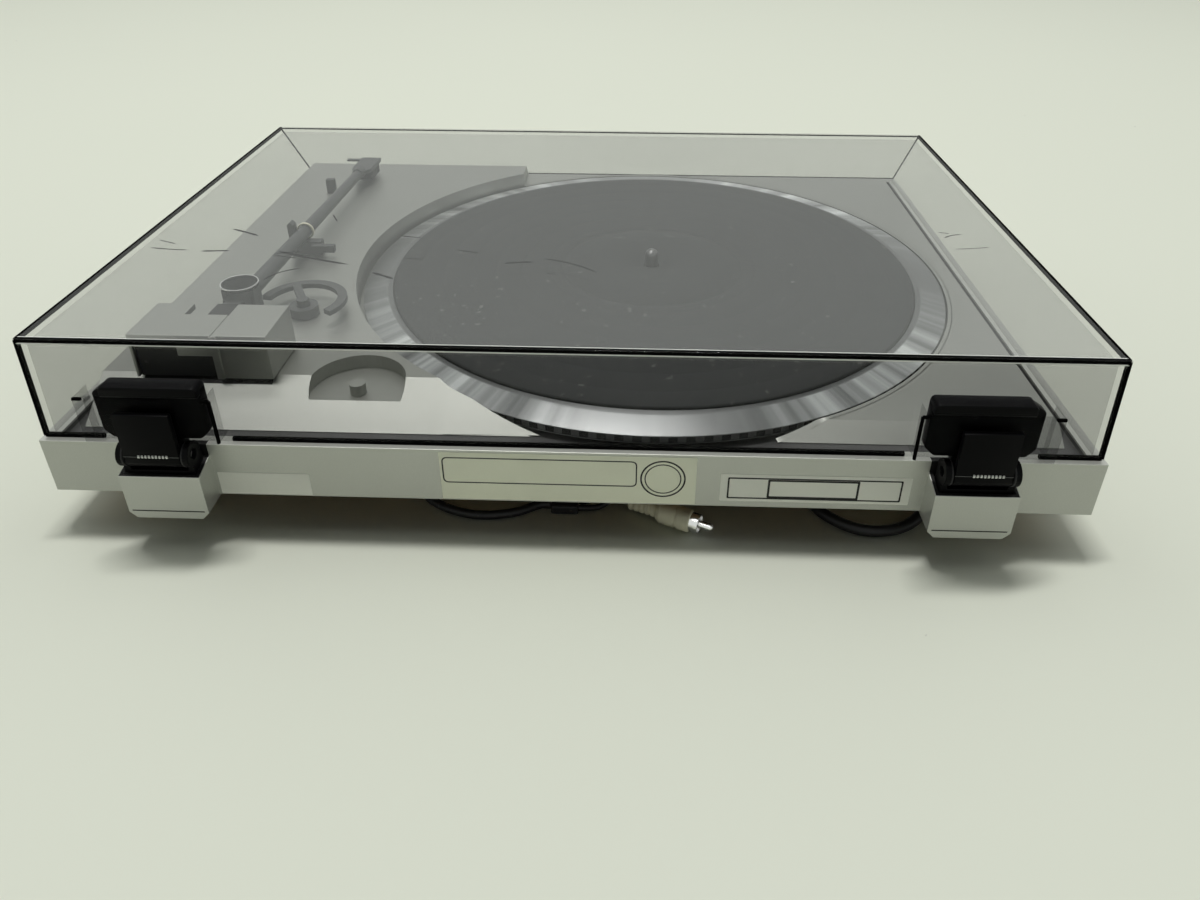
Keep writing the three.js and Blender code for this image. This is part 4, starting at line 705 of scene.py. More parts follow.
class TURNTABLE_OT_stage(bpy.types.Operator):
    """Pale floor, soft light and the camera"""

    bl_idname = "turntable.stage"
    bl_label = "Stage"

    def execute(self, context):
        look = context.scene.turntable_stage
        context.scene.view_settings.view_transform = "Standard"
        self.camera(context.scene)
        self.floor(context.scene, look)
        self.room(context.scene, look)
        self.lamps(context.scene, look)
        return {"FINISHED"}

    def camera(self, scene):
        """The photo's camera, from its lens, place and three turns."""
        lens = bpy.data.cameras.new("camera")
        for key, value in LENS.items():
            setattr(lens, key, value)
        eye = bpy.data.objects.new("camera", lens)
        scene.collection.objects.link(eye)
        turn = Matrix.Identity(4)
        for angle, axis in ((BEARING, "Z"), (TILT, "X"), (ROLL, "Z")):
            turn = turn @ Matrix.Rotation(math.radians(angle), 4, axis)
        eye.matrix_world = Matrix.Translation(EYE) @ turn
        scene.camera = eye

    def floor(self, scene, look):
        """A wide pale table with a slow drift of tone and a few dark flecks."""
        paint = Surface("floor", Roughness=0.85, Specular_IOR_Level=0.0)
        drift = paint.noise(1.1, 2, 0.5)
        fleck = paint.noise(90, 2, 0.5).above(0.80, 0.02)
        tone = paint.mix(drift, shade(look.floor_colour, 0.985), shade(look.floor_colour, 1.015))
        paint.set(Base_Color=paint.mix(fleck * 0.5, tone, (0.3, 0.3, 0.28)))
        half = 5.0
        corners = [[-half, -half, 0], [half, -half, 0], [half, half, 0], [-half, half, 0]]
        mesh = bpy.data.meshes.new("floor")
        mesh.from_pydata(corners, [], [[0, 1, 2, 3]])
        mesh.materials.append(paint.material)
        ground = bpy.data.objects.new("floor", mesh)
        scene.collection.objects.link(ground)

    def room(self, scene, look):
        """A pale room in the picture and in reflections. As light, it is faint but for two soft lobes
        to the left and right of the front: (0.8 |x| - 0.6 y)^4 of the level direction."""
        world = bpy.data.worlds.new("room")
        world.use_nodes = True
        scene.world = world
        room = Nodes(world.node_tree)
        x, y, _ = room.parts(room.add("ShaderNodeTexCoord", {}, output="Generated"))
        level = (x * x + y * y).math("SQRT")
        lobe = ((x.math("ABSOLUTE") * 0.8 - y * 0.6) / level).math("MAXIMUM", 0.0) ** 4
        path = room.add("ShaderNodeLightPath", {}).socket.node
        seen, glossy, through = (Value(room, path.outputs[kind]) for kind in (
            "Is Camera Ray", "Is Glossy Ray", "Is Transmission Ray"))
        seen = seen.math("MAXIMUM", glossy).math("MAXIMUM", through)
        sky = room.nodes["Background"]
        room.feed(sky.inputs["Color"], (0.97, 1.0, 0.96))
        room.feed(sky.inputs["Strength"], seen * look.glow + (1 - seen) * (lobe * look.sides + look.room))

    def lamps(self, scene, look):
        """Area lamps, each by its place, its share of the key lamp's power and its width and depth. The
        ceiling panel shows in reflections alone."""
        for name, spot, share, width, depth in (
            ("ceiling_lamp", (0.2, -0.6, 3.6), 1.0, 1.3, 0.25),
            ("ceiling_panel", (1.1, 0.9, 3.6), 0.38, 1.6, 1.0),
            ("low_fill", (-0.4, 3.2, 0.3), 0.025, 1.6, 0.4),
        ):
            lamp = bpy.data.lights.new(name, "AREA")
            lamp.shape = "RECTANGLE"
            lamp.energy = look.key_power * share
            lamp.size, lamp.size_y = width, depth
            lamp.color = (1.0, 0.995, 0.97)
            holder = bpy.data.objects.new(name, lamp)
            toward_origin = Vector(spot).to_track_quat("Z", "Y").to_matrix().to_4x4()
            holder.matrix_world = Matrix.Translation(spot) @ toward_origin
            holder.visible_camera = False
            holder.visible_diffuse = name != "ceiling_panel"
            scene.collection.objects.link(holder)


# Leads: the same ways as in the solids, in millimetres of the source's frame

FLOOR = -44.0
CLEAR = 0.15  # what a lead or plug clears the floor by
CLAMP = -30.8  # height of the leads where they leave their clamps
CLIMB = 1.6  # pitch of a coil's turns, as a share of the lead's thickness


def coil_points(outer, radius, turns, loops=3, steps=24):
    """Loops that spiral in by a pitch a turn, climb one pitch in half a turn and spiral out again."""
    turn = np.arange(0, turns * steps + 1) / steps
    pitch, climb_end = CLIMB * 2 * radius, loops + 0.5
    across = np.where(turn < climb_end, turn, 2 * climb_end - turn)
    reach = outer - pitch * across
    angle = np.pi + 2 * np.pi * turn
    climb = pitch * np.clip(2 * (turn - loops), 0, 1)
    return np.stack([reach * np.cos(angle), reach * np.sin(angle), climb], -1)


def lead_path(start, way, middle_points, end, end_way, radius, spacing=2.0):
    """A path from a start to an end, with a short straight stretch at both, clear of the floor."""
    start, end = np.array(start, float), np.array(end, float)
    leaves = start + 2 * radius * np.array(way)
    arrives = end - 2 * radius * np.array(end_way)
    path = smooth_path([start, leaves, *middle_points, arrives, end], spacing)
    path[:, 2] = np.maximum(path[:, 2], FLOOR + radius + CLEAR)
    return path


def steps_along(path):
    """Length of each step of a path."""
    return np.linalg.norm(np.diff(path, axis=0), axis=1)


class TURNTABLE_OT_leads(bpy.types.Operator):
    """Mains lead and audio lead, coiled under the cabinet, with reliefs and plugs"""

    bl_idname = "turntable.leads"
    bl_label = "Leads"

    def execute(self, context):
        self.mains(2.5)
        self.audio(2.0)
        for letter, side, points, x, y, bearing in (
            ("a", 1, ((-13, -16.4, 0.1), (-19, -19.2, 0.5)), -27, -16.7, math.radians(114.6)),
            ("b", -1, ((-10.5, -25, 0), (-10.5, -36, 0.2), (-7.5, -47, 0.8)), -6, -58, 0.0),
        ):
            self.tail(letter, side, points, x, y, bearing)
        return {"FINISHED"}

    def mains(self, radius):
        """From its clamp round the corner into a coil, and on to the plug beside it."""
        low = FLOOR + radius + CLEAR
        high = low + CLIMB * 2 * radius
        plug_height = 13
        plug_z = FLOOR + plug_height / 2 + CLEAR
        before = [[x, y, low + up] for x, y, up in (
            (-163.6, -46, 7), (-162, -33, 2.5), (-156, -17, 0), (-142, -6, 0), (-126, -5, 0),
            (-112, -15, 0), (-106, -30, 0))]
        outer, turns, coil_centre = 42, 7, [-62, -60, low]
        coil = coil_points(outer, radius, turns) + coil_centre
        after = [[x, y, plug_z + share * (high - plug_z)] for x, y, share in (
            (-104.5, -82, 0.7), (-105.5, -96, 0.15))]
        path = lead_path([-164, -59.7, CLAMP], (0, 1, 0), [*before, *coil, *after],
                         [-106, -111.7, plug_z], (0, -1, 0), radius)
        self.cord("mains_lead", path, radius, ["mains_lead_run", "mains_lead_coil", "mains_lead_tail"],
                  "plug", ["mains_plug"])
        self.relief("mains_relief", path, radius, 22)

    def audio(self, radius):
        """From its clamp into a coil and along the rear edge to the joining block."""
        low = FLOOR + radius + CLEAR
        high = low + CLIMB * 2 * radius
        before = [[18.4, -48, low + 7], [18.4, -60, low + 2.2]]
        outer, turns, coil_centre = 31.6, 6.5, [50, -84, low]
        coil = coil_points(outer, radius, turns) + coil_centre
        after = [[x, y, low + share * (high - low)] for x, y, share in (
            (78.4, -65, 0.7), (76, -42, 0), (62, -18, 0), (42, -9, 0), (24, -11, 0))]
        path = lead_path([18.4, -34.3, CLAMP], (0, -1, 0), [*before, *coil, *after],
                         [8.3, -17, low], (-1, 0, 0), radius)
        self.cord("audio_lead", path, radius, ["audio_lead_run", "audio_lead_coil", "audio_lead_tail"],
                  "connector", ["audio_joiner"])
        self.relief("audio_relief", path, radius, 20)

    def tail(self, letter, side, points, x, y, bearing):
        """A thin lead from one side of the joining block to a phono plug at x, y with a bearing. Each of
        its points rises by a share of the way from the floor to the plug's middle."""
        radius, joiner_height, apart, plug_radius, into_plug = 1.3, 4.6, 2.2, 5, 9
        thin_z, plug_z = FLOOR + radius + CLEAR, FLOOR + plug_radius + CLEAR
        joiner_z = FLOOR + joiner_height / 2 + CLEAR
        way = np.array([-math.sin(bearing), -math.cos(bearing), 0])
        route = [[px, py, thin_z + share * (plug_z - thin_z)] for px, py, share in points]
        path = lead_path([-4.3, -17 + side * apart, joiner_z], (-1, 0, 0), route,
                         np.array([x, y, plug_z]) + into_plug * way, way, radius, 1.5)
        plug = self.phono_plug(letter, (x, y, plug_z), way)
        self.cord("audio_tail_lead_" + letter, path, radius, ["audio_tail_" + letter], "plug", plug)

    def cord(self, name, path, radius, replaced, far_end, pieces):
        """A lead along its path, in place of the solids that stand for it."""
        path = place(path)
        obj = finished(name, tube(path, radius * MM), "sheath", "chassis", 60, replaced)

    def relief(self, name, path, radius, length):
        """A tapered ribbed sleeve over the first stretch of a lead: r = r0 + (r1 - r0)(1 - t) with ribs."""
        along = np.concatenate([[0], np.cumsum(steps_along(path))])
        t = np.linspace(0, 1, 45)
        places = np.column_stack([np.interp(t * length, along, path[:, k]) for k in range(3)])
        ribs = 0.25 * (np.sin(t * 7 * 2 * np.pi) > 0)
        outer = radius + 0.35 + 1.5 * (1 - t) + ribs * (t < 0.9)
        finished(name, tube(place(places), outer * MM, 16), "matte", "chassis")

    def phono_plug(self, letter, start, way):
        """A turned cream body with ribs at the lead, and its bright sleeve and pin."""
        ribs, pitch = [], 1.3
        for k in range(5):
            ribs += [[2.6, 2 * k * pitch], [3.3, (2 * k + 0.5) * pitch], [3.3, (2 * k + 1.5) * pitch]]
        body = [[1.3, 0], *ribs, [2.6, 13], [3.6, 13.3], [5.0, 15.5], [5.0, 22], [4.6, 22.4], [4.6, 23.2],
                [5.0, 23.6], [5.0, 28.4], [4.6, 29], [1.3, 29]]
        metal = [[0, 26], [4.2, 29.05], [4.2, 33], [3.7, 33], [3.7, 30], [1.6, 30], [1.6, 38.2], [0.8, 39],
                 [0, 39]]
        return [finished(name + letter, lathe(outline, 0.15, 2, 28, place(start), way), finish, "chassis",
                         40, replaced)
                for name, outline, finish, slot, replaced in (
                    ("phono_body_", body, "cream", "cream_plastic", ("phono_plug_" + letter,)),
                    ("phono_pin_", metal, "chrome", "steel", ()))]


class TURNTABLE_OT_platter(bpy.types.Operator):
    """Platter with its bevel and strobe band, ribbed mat and spindle"""

    bl_idname = "turntable.platter"
    bl_label = "Platter"

    def execute(self, context):
        sizes = context.scene.turntable_pieces
        steps, centre = sizes.lathe_steps, (PLATTER.x, PLATTER.y, RIM)
        lip, band_top = 5.5, 2.6
        dish = [[3.9, -2.6], [22, -2.6], [22, -0.1], [151, -0.1], [156, -1.5], [158.5, -1.5],
                [158.5, band_top], [159.5, band_top], [159.5, band_top + 0.6], [147.5, lip], [143.8, lip],
                [143.8, 3.5], [3.9, 3.5]]
        finished("platter_dish", lathe(dish, 0.25, 3, steps, centre), "platter", "platter",
                 30, ("platter",))

        top, bottom, reach, label = 6.8, 3.8, 143.5, 50
        radii = np.arange(58, reach - 6, sizes.mat_ring_pitch / MM)
        groove = np.array([[0, 0], [0.4, -0.06], [1.0, -0.06], [1.4, 0]])
        rings = np.column_stack([radii, np.full(len(radii), top)])[:, None] + groove
        inside = [[4, bottom], [4, top - 0.4], [4.4, top], [label, top], [label + 0.3, top - 0.15],
                  [label + 1, top - 0.15], [label + 1.3, top]]
        outside = [[reach - 1.2, top], [reach - 0.3, top - 0.35], [reach, top - 1.1], [reach, bottom]]
        mat = np.vstack([inside, rings.reshape(-1, 2), outside])
        finished("mat_disc", turned(mat * MM, steps, centre), "rubber", "platter", 50,
                 ("platter_mat",))

        low, tip = ((corner[2] - RIM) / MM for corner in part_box("spindle"))
        shaft, flange, flange_reach = 3.6, -2.9, 9
        pin = [[0, low], [shaft, low], [shaft, flange - 2.7], [flange_reach, flange - 2.7],
               [flange_reach, flange], [shaft, flange], [shaft, tip - 3], [3.2, tip - 1.6], [1.8, tip - 0.3],
               [0, tip]]
        finished("spindle_pin", lathe(pin, 0.3, 3, 48, centre), "spindle", "platter", 40,
                 ("spindle",))
        return {"FINISHED"}


class TURNTABLE_OT_deck_lip(bpy.types.Operator):
    """Thin lip of the deck round the platter, which follows the fall of the deck to the rear"""

    bl_idname = "turntable.deck_lip"
    bl_label = "Deck lip"

    foot_y, foot_z, under = -14.0, -2.7, -2.6  # foot of the rear slope, and the lip's underside
    fall = math.tan(math.radians(34.3))
    least = 0.2  # how thick the lip is at least
    inner, well = 160.5, 162.6

    def execute(self, context):
        centre = np.array([PLATTER.x, PLATTER.y - REAR]) / MM
        finished("deck_lip", self.ring(centre), "deck", "chassis")
        finished("deck_wedge", self.wedge(centre), "deck", "chassis")
        return {"FINISHED"}

    def slope(self, y, start):
        """Height of the rear slope at y, no lower than the lip's least thickness."""
        return np.maximum(start + (self.foot_y - y) * self.fall, self.under + self.least)

    def ring(self, centre):
        """The lip along the low part of the deck: a strip between two radii, its top at the lower of
        the deck's level and the slope."""
        deck = 3.3
        angle = np.radians(np.linspace(108.5, 303, 360))
        radii = np.array([self.inner, self.well, self.well, self.inner])[:, None]
        x, y = centre[0] + radii * np.cos(angle), centre[1] + radii * np.sin(angle)
        top = np.minimum(self.slope(y, self.foot_z), deck)
        z = np.where(np.array([False, False, True, True])[:, None], top, self.under)
        grid = np.stack([x, y, z], -1).transpose(1, 0, 2).reshape(-1, 3)
        return place(grid), capped_rows(len(angle), 4)

    def wedge(self, centre):
        """The slope carried on between its foot, the platter and the step to the arm's part of the
        deck, a hair below the deck's own slope."""
        end, narrow_from, hair = 53.0, 42, 0.03
        turn = np.radians(np.linspace(56.0, 72.5, 60))
        edge = self.inner + 1.8 * np.clip((self.inner * np.cos(turn) + centre[0] - narrow_from) / 10, 0, 1)
        rim = centre + edge[:, None] * np.column_stack([np.cos(turn), np.sin(turn)])
        rim = rim[(rim[:, 0] <= end) & (rim[:, 1] <= self.foot_y)]
        plan = np.vstack([rim, [[end, self.foot_y]]])
        top = self.slope(plan[:, 1], self.foot_z - hair)
        levels = (np.full(len(plan), self.under), top)
        verts = np.concatenate([np.column_stack([plan, level]) for level in levels])
        return place(verts), capped_rows(2, len(plan))


class TURNTABLE_OT_tonearm(bpy.types.Operator):
    """Tapered tube with its light collar, and the pivot cap with its bright rim"""

    bl_idname = "turntable.tonearm"
    bl_label = "Tonearm"

    def execute(self, context):
        low, high = (np.array(corner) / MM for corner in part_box("pivot_cap"))
        radius, foot, top = (high[0] - low[0]) / 2, low[2], high[2]
        axis = (*middle("pivot_cap").xy, 0)
        side = radius - 0.2
        cap = [[0, foot], [side, foot], [side, top - 0.5], [radius * 0.86, top - 0.3],
               [radius * 0.8, top - 0.7], [radius * 0.3, top - 0.5], [0, top - 0.5]]
        finished("cap_disc", lathe(cap, 0.3, 4, 64, axis), "gloss", "gimbal", 35,
                 ("pivot_cap",))
        inner, rim_foot = radius * 0.93, top - 0.6
        rim = [[inner, rim_foot], [inner, top], [radius, top], [radius, rim_foot]]
        finished("cap_rim", lathe(rim, 0.15, 2, 64, axis), "chrome", "gimbal", 35)

        droop, yaw = math.radians(1.1), math.radians(0.3)
        way = (-math.sin(yaw) * math.cos(droop), -math.cos(yaw) * math.cos(droop), -math.sin(droop))
        pivot = place([159.5, -80, 26])
        bore, thick, thin, start, length, collar = 2.4, 4, 3.0, 9.35, 178, 87
        rod = [[bore, start], [thick, start], [thin, start + length], [bore, start + length]]
        finished("arm_rod", lathe(rod, 0.15, 2, 40, pivot, way), "arm", "arm", 40, ("arm_tube",))
        seat = thick - (thick - thin) * (collar - start) / length + 0.3
        ring = [[seat, collar - 0.8], [seat + 0.7, collar - 0.8], [seat + 1, collar - 0.4],
                [seat + 1, collar + 0.4], [seat + 0.7, collar + 0.8], [seat, collar + 0.8]]
        finished("collar_ring", lathe(ring, 0.1, 2, 40, pivot, way), "cream", "arm", 40,
                 ("arm_collar",))
        return {"FINISHED"}


class TURNTABLE_OT_stickers(bpy.types.Operator):
    """Blank stickers on the rear wall"""

    bl_idname = "turntable.stickers"
    bl_label = "Rear stickers"

    def execute(self, context):
        thick = context.scene.turntable_pieces.sticker_thickness
        for name, xs, zs, finish in (
            ("sticker_small", (107.5, 146.3), (-25.5, -14.3), "white_paper"),
            ("sticker_plate", (-54, 52), (-25.4, -1.2), "paper"),
            ("sticker_bordered", (-142, -64), (-23, -9), "white_paper"),
        ):
            shape = slab(self.outline(xs, zs, 0.5), REAR, REAR + thick, 0.02 * MM, ACROSS_REAR)
            finished(name, shape, finish, "chassis")
        lines = [
            self.border((-29.6, 51), (-16.8, -3.6), 0.55, 2.5),
            self.border((-138.5, -67), (-21.6, -10.6), 0.7, 0.6),
            self.border((-121, -83.5), (-20.9, -11.4), 0.9, 0.4),
            self.ring(-40.3, -12.4, 9.4, 0.7),
            self.ring(-40.3, -12.4, 7.6, 0.5),
        ]
        finished("sticker_lines", join_parts(lines), "ink", "chassis")
        return {"FINISHED"}

    def outline(self, xs, zs, corner, inset=0):
        """A rectangle on the wall from its x and z in millimetres, drawn in by an inset."""
        centre = (sum(xs) / 2 * MM, RIM + sum(zs) / 2 * MM)
        return rounded_rectangle((xs[1] - xs[0] - 2 * inset) * MM, (zs[1] - zs[0] - 2 * inset) * MM,
                                 corner * MM, centre)

    def printed(self, outer, inner):
        """A flat printed line between two outlines of as many points, as thin as ink."""
        low, high = REAR + 0.12 * MM, REAR + 0.15 * MM
        rings = [np.column_stack([line[:, 0], np.full(len(line), level), line[:, 1]])
                 for line, level in ((outer, low), (outer, high), (inner, high), (inner, low))]
        return np.concatenate(rings), closed_rows(len(rings), len(outer))

    def border(self, xs, zs, width, corner):
        """A printed rectangle."""
        return self.printed(self.outline(xs, zs, corner), self.outline(xs, zs, corner * 0.8, width))

    def ring(self, x, z, radius, width):
        """A printed circle."""
        angle = np.linspace(0, 2 * np.pi, 64, endpoint=False)
        unit = np.column_stack([np.cos(angle), np.sin(angle)])
        centre = np.array([x * MM, RIM + z * MM])
        return self.printed(centre + unit * radius * MM, centre + unit * (radius - width) * MM)


# Both ends of each scratch on the cover's top as x, y from the rear wall, then its bow and its width
SCRATCHES = [
    (174, -114, 158, -106, 0.3, 1.8),
    (204, -99, 194, -95, 0, 1.0),
    (204, -90, 185, -88, -0.4, 1.2),
    (178, -87, 165, -88, 0, 1.8),
    (143, -85, 131, -88, 0.5, 1.4),
    (143, -89, 104, -75, -0.8, 2.0),
    (143, -84, 131, -81, 0, 1.2),
    (91, -67, 80, -61, 0, 2.0),
    (88, -109, 75, -106, 0, 1.0),
    (81, -83, 71, -82, 0, 1.0),
    (57, -93, 46, -90, 0, 1.2),
    (33, -79, 20, -81, 0.4, 2.2),
    (16, -85, -10, -71, 2.2, 1.4),
    (13, -69, 8, -69, 0, 1.0),
    (137, -57, 125, -70, 2.4, 1.4),
    (130, -135, 125, -126, 0, 1.0),
    (-178, -124, -183, -123, 0, 1.0),
    (-179, -117, -189, -122, 1.0, 1.0),
    (-180, -104, -198, -107, -0.7, 0.8),
]


class TURNTABLE_OT_cover_wear(bpy.types.Operator):
    """Scratches in the cover's top"""

    bl_idname = "turntable.cover_wear"
    bl_label = "Cover wear"

    def execute(self, context):
        parts = [self.scratch(*(np.array(pair) for pair in (ends[:2], ends[2:])), bow, width)
                 for *ends, bow, width in SCRATCHES]
        marks = finished("cover_scratches", join_parts(parts), "scratch", "cover")
        marks.visible_shadow = False
        return {"FINISHED"}

    def scratch(self, start, end, bow, width):
        """A sliver just below the top from start to end, s aside of their line by 4 bow t (1 - t), its
        half width w/2 (sqrt(4 t (1 - t)) (0.8 + 0.2 sin 9t) + 0.05), t from 0 to 1."""
        thick = 0.02 * MM
        top = COVER[1][2] - thick
        t = np.linspace(0, 1, 15)[:, None]
        arch = 4 * t * (1 - t)
        way = (end - start) / np.linalg.norm(end - start)
        side = np.array([-way[1], way[0]])
        line = start + (end - start) * t + side * bow * arch
        reach = side * width / 2 * (np.sqrt(arch) * (0.8 + 0.2 * np.sin(9 * t)) + 0.05)
        left, right = line - reach, line + reach
        ring = [np.column_stack([edge * MM + [0, REAR], np.full(len(t), level)])
                for edge, level in ((left, top), (right, top), (right, top - thick), (left, top - thick))]
        return np.stack(ring, 1).reshape(-1, 3), capped_rows(len(t), len(ring))


class TURNTABLE_OT_cover_edges(bpy.types.Operator):
    """Painted shade as black bars where the cover's edges and its hinge pockets look dark, and painted
    highlight lines beside them
    """

    bl_idname = "turntable.cover_edges"
    bl_label = "Cover edges"

    def execute(self, context):
        low, high = Vector(COVER[0]), Vector(COVER[1])
        draft, lean, set_in = 1.7 * MM, 46 * MM, 2 * MM  # lean of the sides and the front, place of the rear
        wide, fine, line = 1.8 * MM, 0.8 * MM, 1.2 * MM  # widths of the drawn edges
        inset = wide / 2 - 0.01 * MM
        top, foot = high.z - inset, low.z + inset
        half, rear = high.x - draft - inset, REAR - set_in - inset
        reach = half + draft
        front_top, front_foot = low.y + lean + inset, low.y + 1.4 * inset
        pocket, stub = 26.9 * MM, 3.4 * MM
        face, shelf, ceiling = high.y - line / 2, RIM + 6.9 * MM, RIM + 26.8 * MM
        # Painted shade: black bars along the cover's edges and its pockets' faces.
        parts = [
            bar((-half, rear, top), (half, rear, top), wide, wide),
            bar((-half, front_top, top), (half, front_top, top), fine, fine),
            bar((-reach, front_foot, foot), (reach, front_foot, foot), fine, fine),
            bar((pocket - HINGE, rear, foot), (HINGE - pocket, rear, foot), wide, wide),
        ]
        for side in (-1, 1):
            inner, outer = side * (HINGE - pocket), side * (HINGE + pocket)
            parts += [bar(start, end, width, width) for start, end, width in (
                ((side * half, front_top, top), (side * half, rear, top), wide),
                ((side * half, rear, top), (side * reach, rear, foot), wide),
                ((side * half, front_top, top), (side * reach, front_foot, foot), fine),
                ((outer, rear, foot), (side * reach, rear, foot), wide),
                ((inner, face, shelf), (inner, face, ceiling), line),
                ((inner, face, ceiling), (inner + side * stub, face, ceiling), line),
                ((outer - side * stub, face, ceiling), (outer, face, ceiling), line),
            )]
        edges = finished("cover_edges", join_parts(parts), "cut_edge", "cover")

        # Painted highlights: two pale lines beside the rear top edge, for the light caught in the acrylic's
        # edge.
        shine, thin, skin = 0.45 * MM, 0.22 * MM, 0.1 * MM
        beside = wide + thin
        wall, sheet = rear + inset, high.z
        lines = [
            bar((-half, wall - skin, sheet - beside), (half, wall - skin, sheet - beside), thin, shine),
            bar((-half, wall - beside, sheet - skin), (half, wall - beside, sheet - skin), shine, thin),
        ]
        glints = finished("cover_painted_glints", join_parts(lines), "glint", "cover")
        for obj in (edges, glints, nodes["dust_cover"]):
            obj.visible_shadow = False
        return {"FINISHED"}


class TURNTABLE_OT_hinges(bpy.types.Operator):
    """Hinge leaves with their rounded heads, the spring's turns at their foot near white as a painted
    highlight, a painted highlight line along each leaf's crease and the cheeks' rims
    """

    bl_idname = "turntable.hinges"
    bl_label = "Hinges"

    half, knuckle = 11.3, 5.5  # half of a leaf's width between the cheeks, and the radius of its knuckle

    def execute(self, context):
        for letter, side in (("left", -1), ("right", 1)):
            pin = middle("hinge_pin_" + letter)
            # Painted highlight: a thin grey bar along the leaf's crease.
            crease = bar((-self.half, 5.05, 1.6), (self.half, 5.05, 1.6), 0.25, 0.3)
            for name, shape, finish, body, slot, sharp, replaced in (
                ("leaf_", self.leaf(side), "gloss", "cover", "black_gloss", 40, ("hinge_leaf_" + letter,)),
                ("spring_turns_", self.spring(side), "bright", "cover", "steel", 40, ()),
                ("leaf_crease_", crease, "arm", "cover", "black_gloss", 30, ()),
                ("cheek_rims_", self.rims(), "matte", "chassis", "black_gloss", 40, ()),
            ):
                verts, faces = shape
                placed = verts * MM + np.array(pin), faces
                finished(name + letter, placed, finish, body, sharp, replaced)
        return {"FINISHED"}

    def leaf(self, side):
        """The leaf's core across the pin, the tongue in the cover's pocket and the head behind it, in
        millimetres from the middle of the pin."""
        inner, outer, corner, edge = -23, 15.6, 20.2, 0.45
        under = [[self.knuckle * math.cos(a), self.knuckle * math.sin(a)]
                 for a in np.radians((-20, -50, -80, -110, -140))]
        core = fillet([[5, 21.5], [5, 1.5], *under, [-6, 5.6], [-6, 32], [-1, 32], [-1, 5.6], [2.3, 5.6],
                       [2.3, 21.5]], 0.6, 2)[::-1]
        tongue = fillet([[inner, 31], [inner, 10.5], [inner + 4, 6.6], [16.8, 6.6], [corner, 10.5],
                         [corner, 28], [outer, 31]], 1.2, 4)
        head = fillet([[inner, 27.4], [outer, 27.4], [outer, 32.4], [inner, 32.4]],
                      [[0.8], [0.8], [2.4], [2.4]], 6)
        lip = fillet([[inner + 0.6, 28.9], [outer - 0.6, 28.9], [outer - 0.6, 29.5], [inner + 0.6, 29.5]],
                     0.2, 2)
        return join_parts([
            slab(core, -self.half, self.half, edge, ALONG_X),
            slab(tongue * [side, 1], -6, -1.05, edge, ACROSS_REAR),
            slab(head * [side, 1], -6, 1.95, 0.8, ACROSS_REAR),
            slab(lip * [side, 1], -5, 2, 0.1, ACROSS_REAR),
        ])

    def spring(self, side):
        """Short turns side by side, near white as a painted highlight."""
        turns, pitch, reach, thick = 9, 1.42, 0.85, 0.42
        first = 4.5 + 0.5 * side
        turn = fillet([[0.01, -thick], [reach, -thick], [reach, thick], [0.01, thick]], 0.2, 3)
        return join_parts([turned(turn, 16, (first - pitch * k, 4.6, 1.7), (1, 0, 0)) for k in range(turns)])

    def rims(self):
        """A thin disc on the outside of each cheek."""
        bore, knuckle, inside, outside = 2.2, self.knuckle, 11.75, 12.6
        disc = fillet([[bore, inside], [knuckle, inside], [knuckle, outside], [bore, outside]], 0.2, 2)
        return join_parts([turned(disc, 48, (0, 0, 0), (way, 0, 0)) for way in (-1, 1)])


class TURNTABLE_OT_seams(bpy.types.Operator):
    """Parting lines of the hinge housings"""

    bl_idname = "turntable.seams"
    bl_label = "Seams"

    def execute(self, context):
        half, rear, height = 15.2 * MM, REAR + 11.5 * MM, 17.9 * MM
        parts = []
        for name in ("hinge_bracket_left", "hinge_bracket_right"):
            x = middle(name).x
            parts.append(bar((x - half, rear, height), (x + half, rear, height), 0.1 * MM, 0.6 * MM))
        finished("housing_seams", join_parts(parts), "ink", "chassis")
        return {"FINISHED"}


class TURNTABLE_OT_feet(bpy.types.Operator):
    """Four round rubber feet with a rolled rim"""

    bl_idname = "turntable.feet"
    bl_label = "Feet"

    def execute(self, context):
        for name in ("foot_front_left", "foot_front_right", "foot_rear_left", "foot_rear_right"):
            low, high = (np.array(corner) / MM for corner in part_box(name))
            reach, top = (high[0] - low[0]) / 2, high[2]
            outline = [[0, 1.2], [reach - 6, 1.2], [reach - 5, 0], [reach - 0.6, 0], [reach, 1.5],
                       [reach - 0.5, 4], [reach - 1.6, 5.2], [reach - 1.6, 6.4], [reach - 1.2, 7.2],
                       [reach - 3, top], [0, top]]
            shape = lathe(outline, 0.5, 3, 64, (*middle(name).xy, 0))
            finished("rubber_" + name, shape, "foot", "chassis", 40, (name,))
        return {"FINISHED"}


class TURNTABLE_OT_finishes(bpy.types.Operator):
    """Finishes and rounded edges of the solids that stay in view"""

    bl_idname = "turntable.finishes"
    bl_label = "Finishes"

    def execute(self, context):
        for finish, names in NODE_FINISH.items():
            for name in names:
                nodes[name].material_slots[0].material = FINISH[finish]
        edge = context.scene.turntable_pieces.edge
        for share, names in ROUNDED.items():
            for name in names:
                soften(name, edge * share)
        return {"FINISHED"}


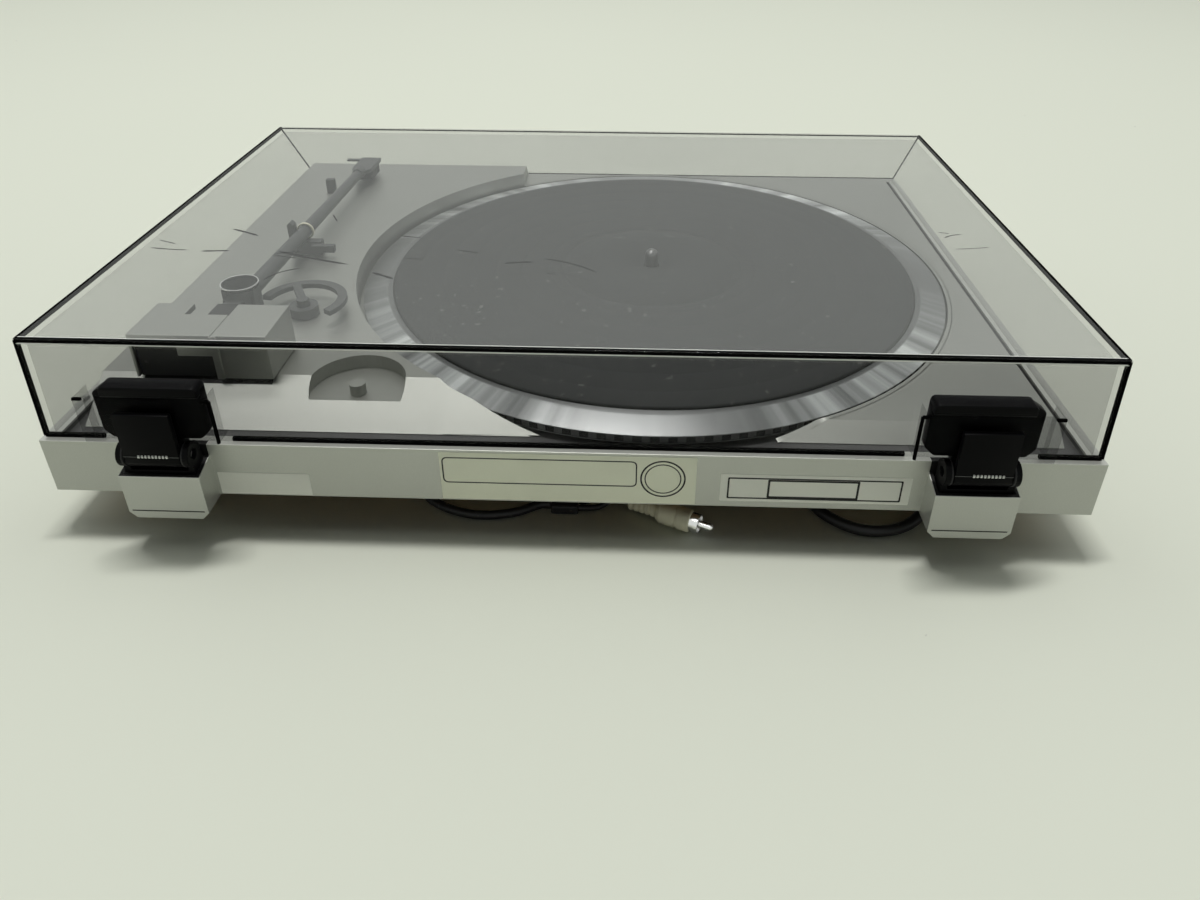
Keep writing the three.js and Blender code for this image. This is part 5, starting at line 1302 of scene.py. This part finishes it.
class TURNTABLE_PT_panel(bpy.types.Panel):
    bl_idname = "TURNTABLE_PT_panel"
    bl_label = "Turntable"
    bl_space_type = "VIEW_3D"
    bl_region_type = "UI"
    bl_category = "Turntable"

    def draw(self, context):
        scene = context.scene
        for group in (scene.turntable_stage, scene.turntable_finish, scene.turntable_pieces):
            for key in group.bl_rna.properties.keys():
                if key not in ("rna_type", "name"):
                    self.layout.prop(group, key)
        for operator in OPERATORS:
            self.layout.operator(operator.bl_idname)


OPERATORS = (
    TURNTABLE_OT_stage,
    TURNTABLE_OT_leads,
    TURNTABLE_OT_platter,
    TURNTABLE_OT_deck_lip,
    TURNTABLE_OT_tonearm,
    TURNTABLE_OT_stickers,
    TURNTABLE_OT_cover_wear,
    TURNTABLE_OT_cover_edges,
    TURNTABLE_OT_hinges,
    TURNTABLE_OT_seams,
    TURNTABLE_OT_feet,
    TURNTABLE_OT_finishes,
)
GROUPS = (
    ("turntable_stage", StageSettings),
    ("turntable_finish", FinishSettings),
    ("turntable_pieces", PieceSettings),
)


def register():
    """Makes the settings, the operators and the panel known."""
    for name, group in GROUPS:
        bpy.utils.register_class(group)
        setattr(bpy.types.Scene, name, PointerProperty(type=group))
    for item in (*OPERATORS, TURNTABLE_PT_panel):
        bpy.utils.register_class(item)


def unregister():
    """Undoes register, in the opposite order."""
    for item in (TURNTABLE_PT_panel, *reversed(OPERATORS)):
        bpy.utils.unregister_class(item)
    for name, group in reversed(GROUPS):
        delattr(bpy.types.Scene, name)
        bpy.utils.unregister_class(group)


def main():
    """Dresses the turntable."""
    register()
    make_finishes(bpy.context.scene.turntable_finish)
    bpy.ops.turntable.stage()
    bpy.ops.turntable.leads()
    bpy.ops.turntable.platter()
    bpy.ops.turntable.deck_lip()
    bpy.ops.turntable.tonearm()
    bpy.ops.turntable.stickers()
    bpy.ops.turntable.cover_wear()
    bpy.ops.turntable.cover_edges()
    bpy.ops.turntable.hinges()
    bpy.ops.turntable.seams()
    bpy.ops.turntable.feet()
    bpy.ops.turntable.finishes()


if __name__ == "__main__":
    main()
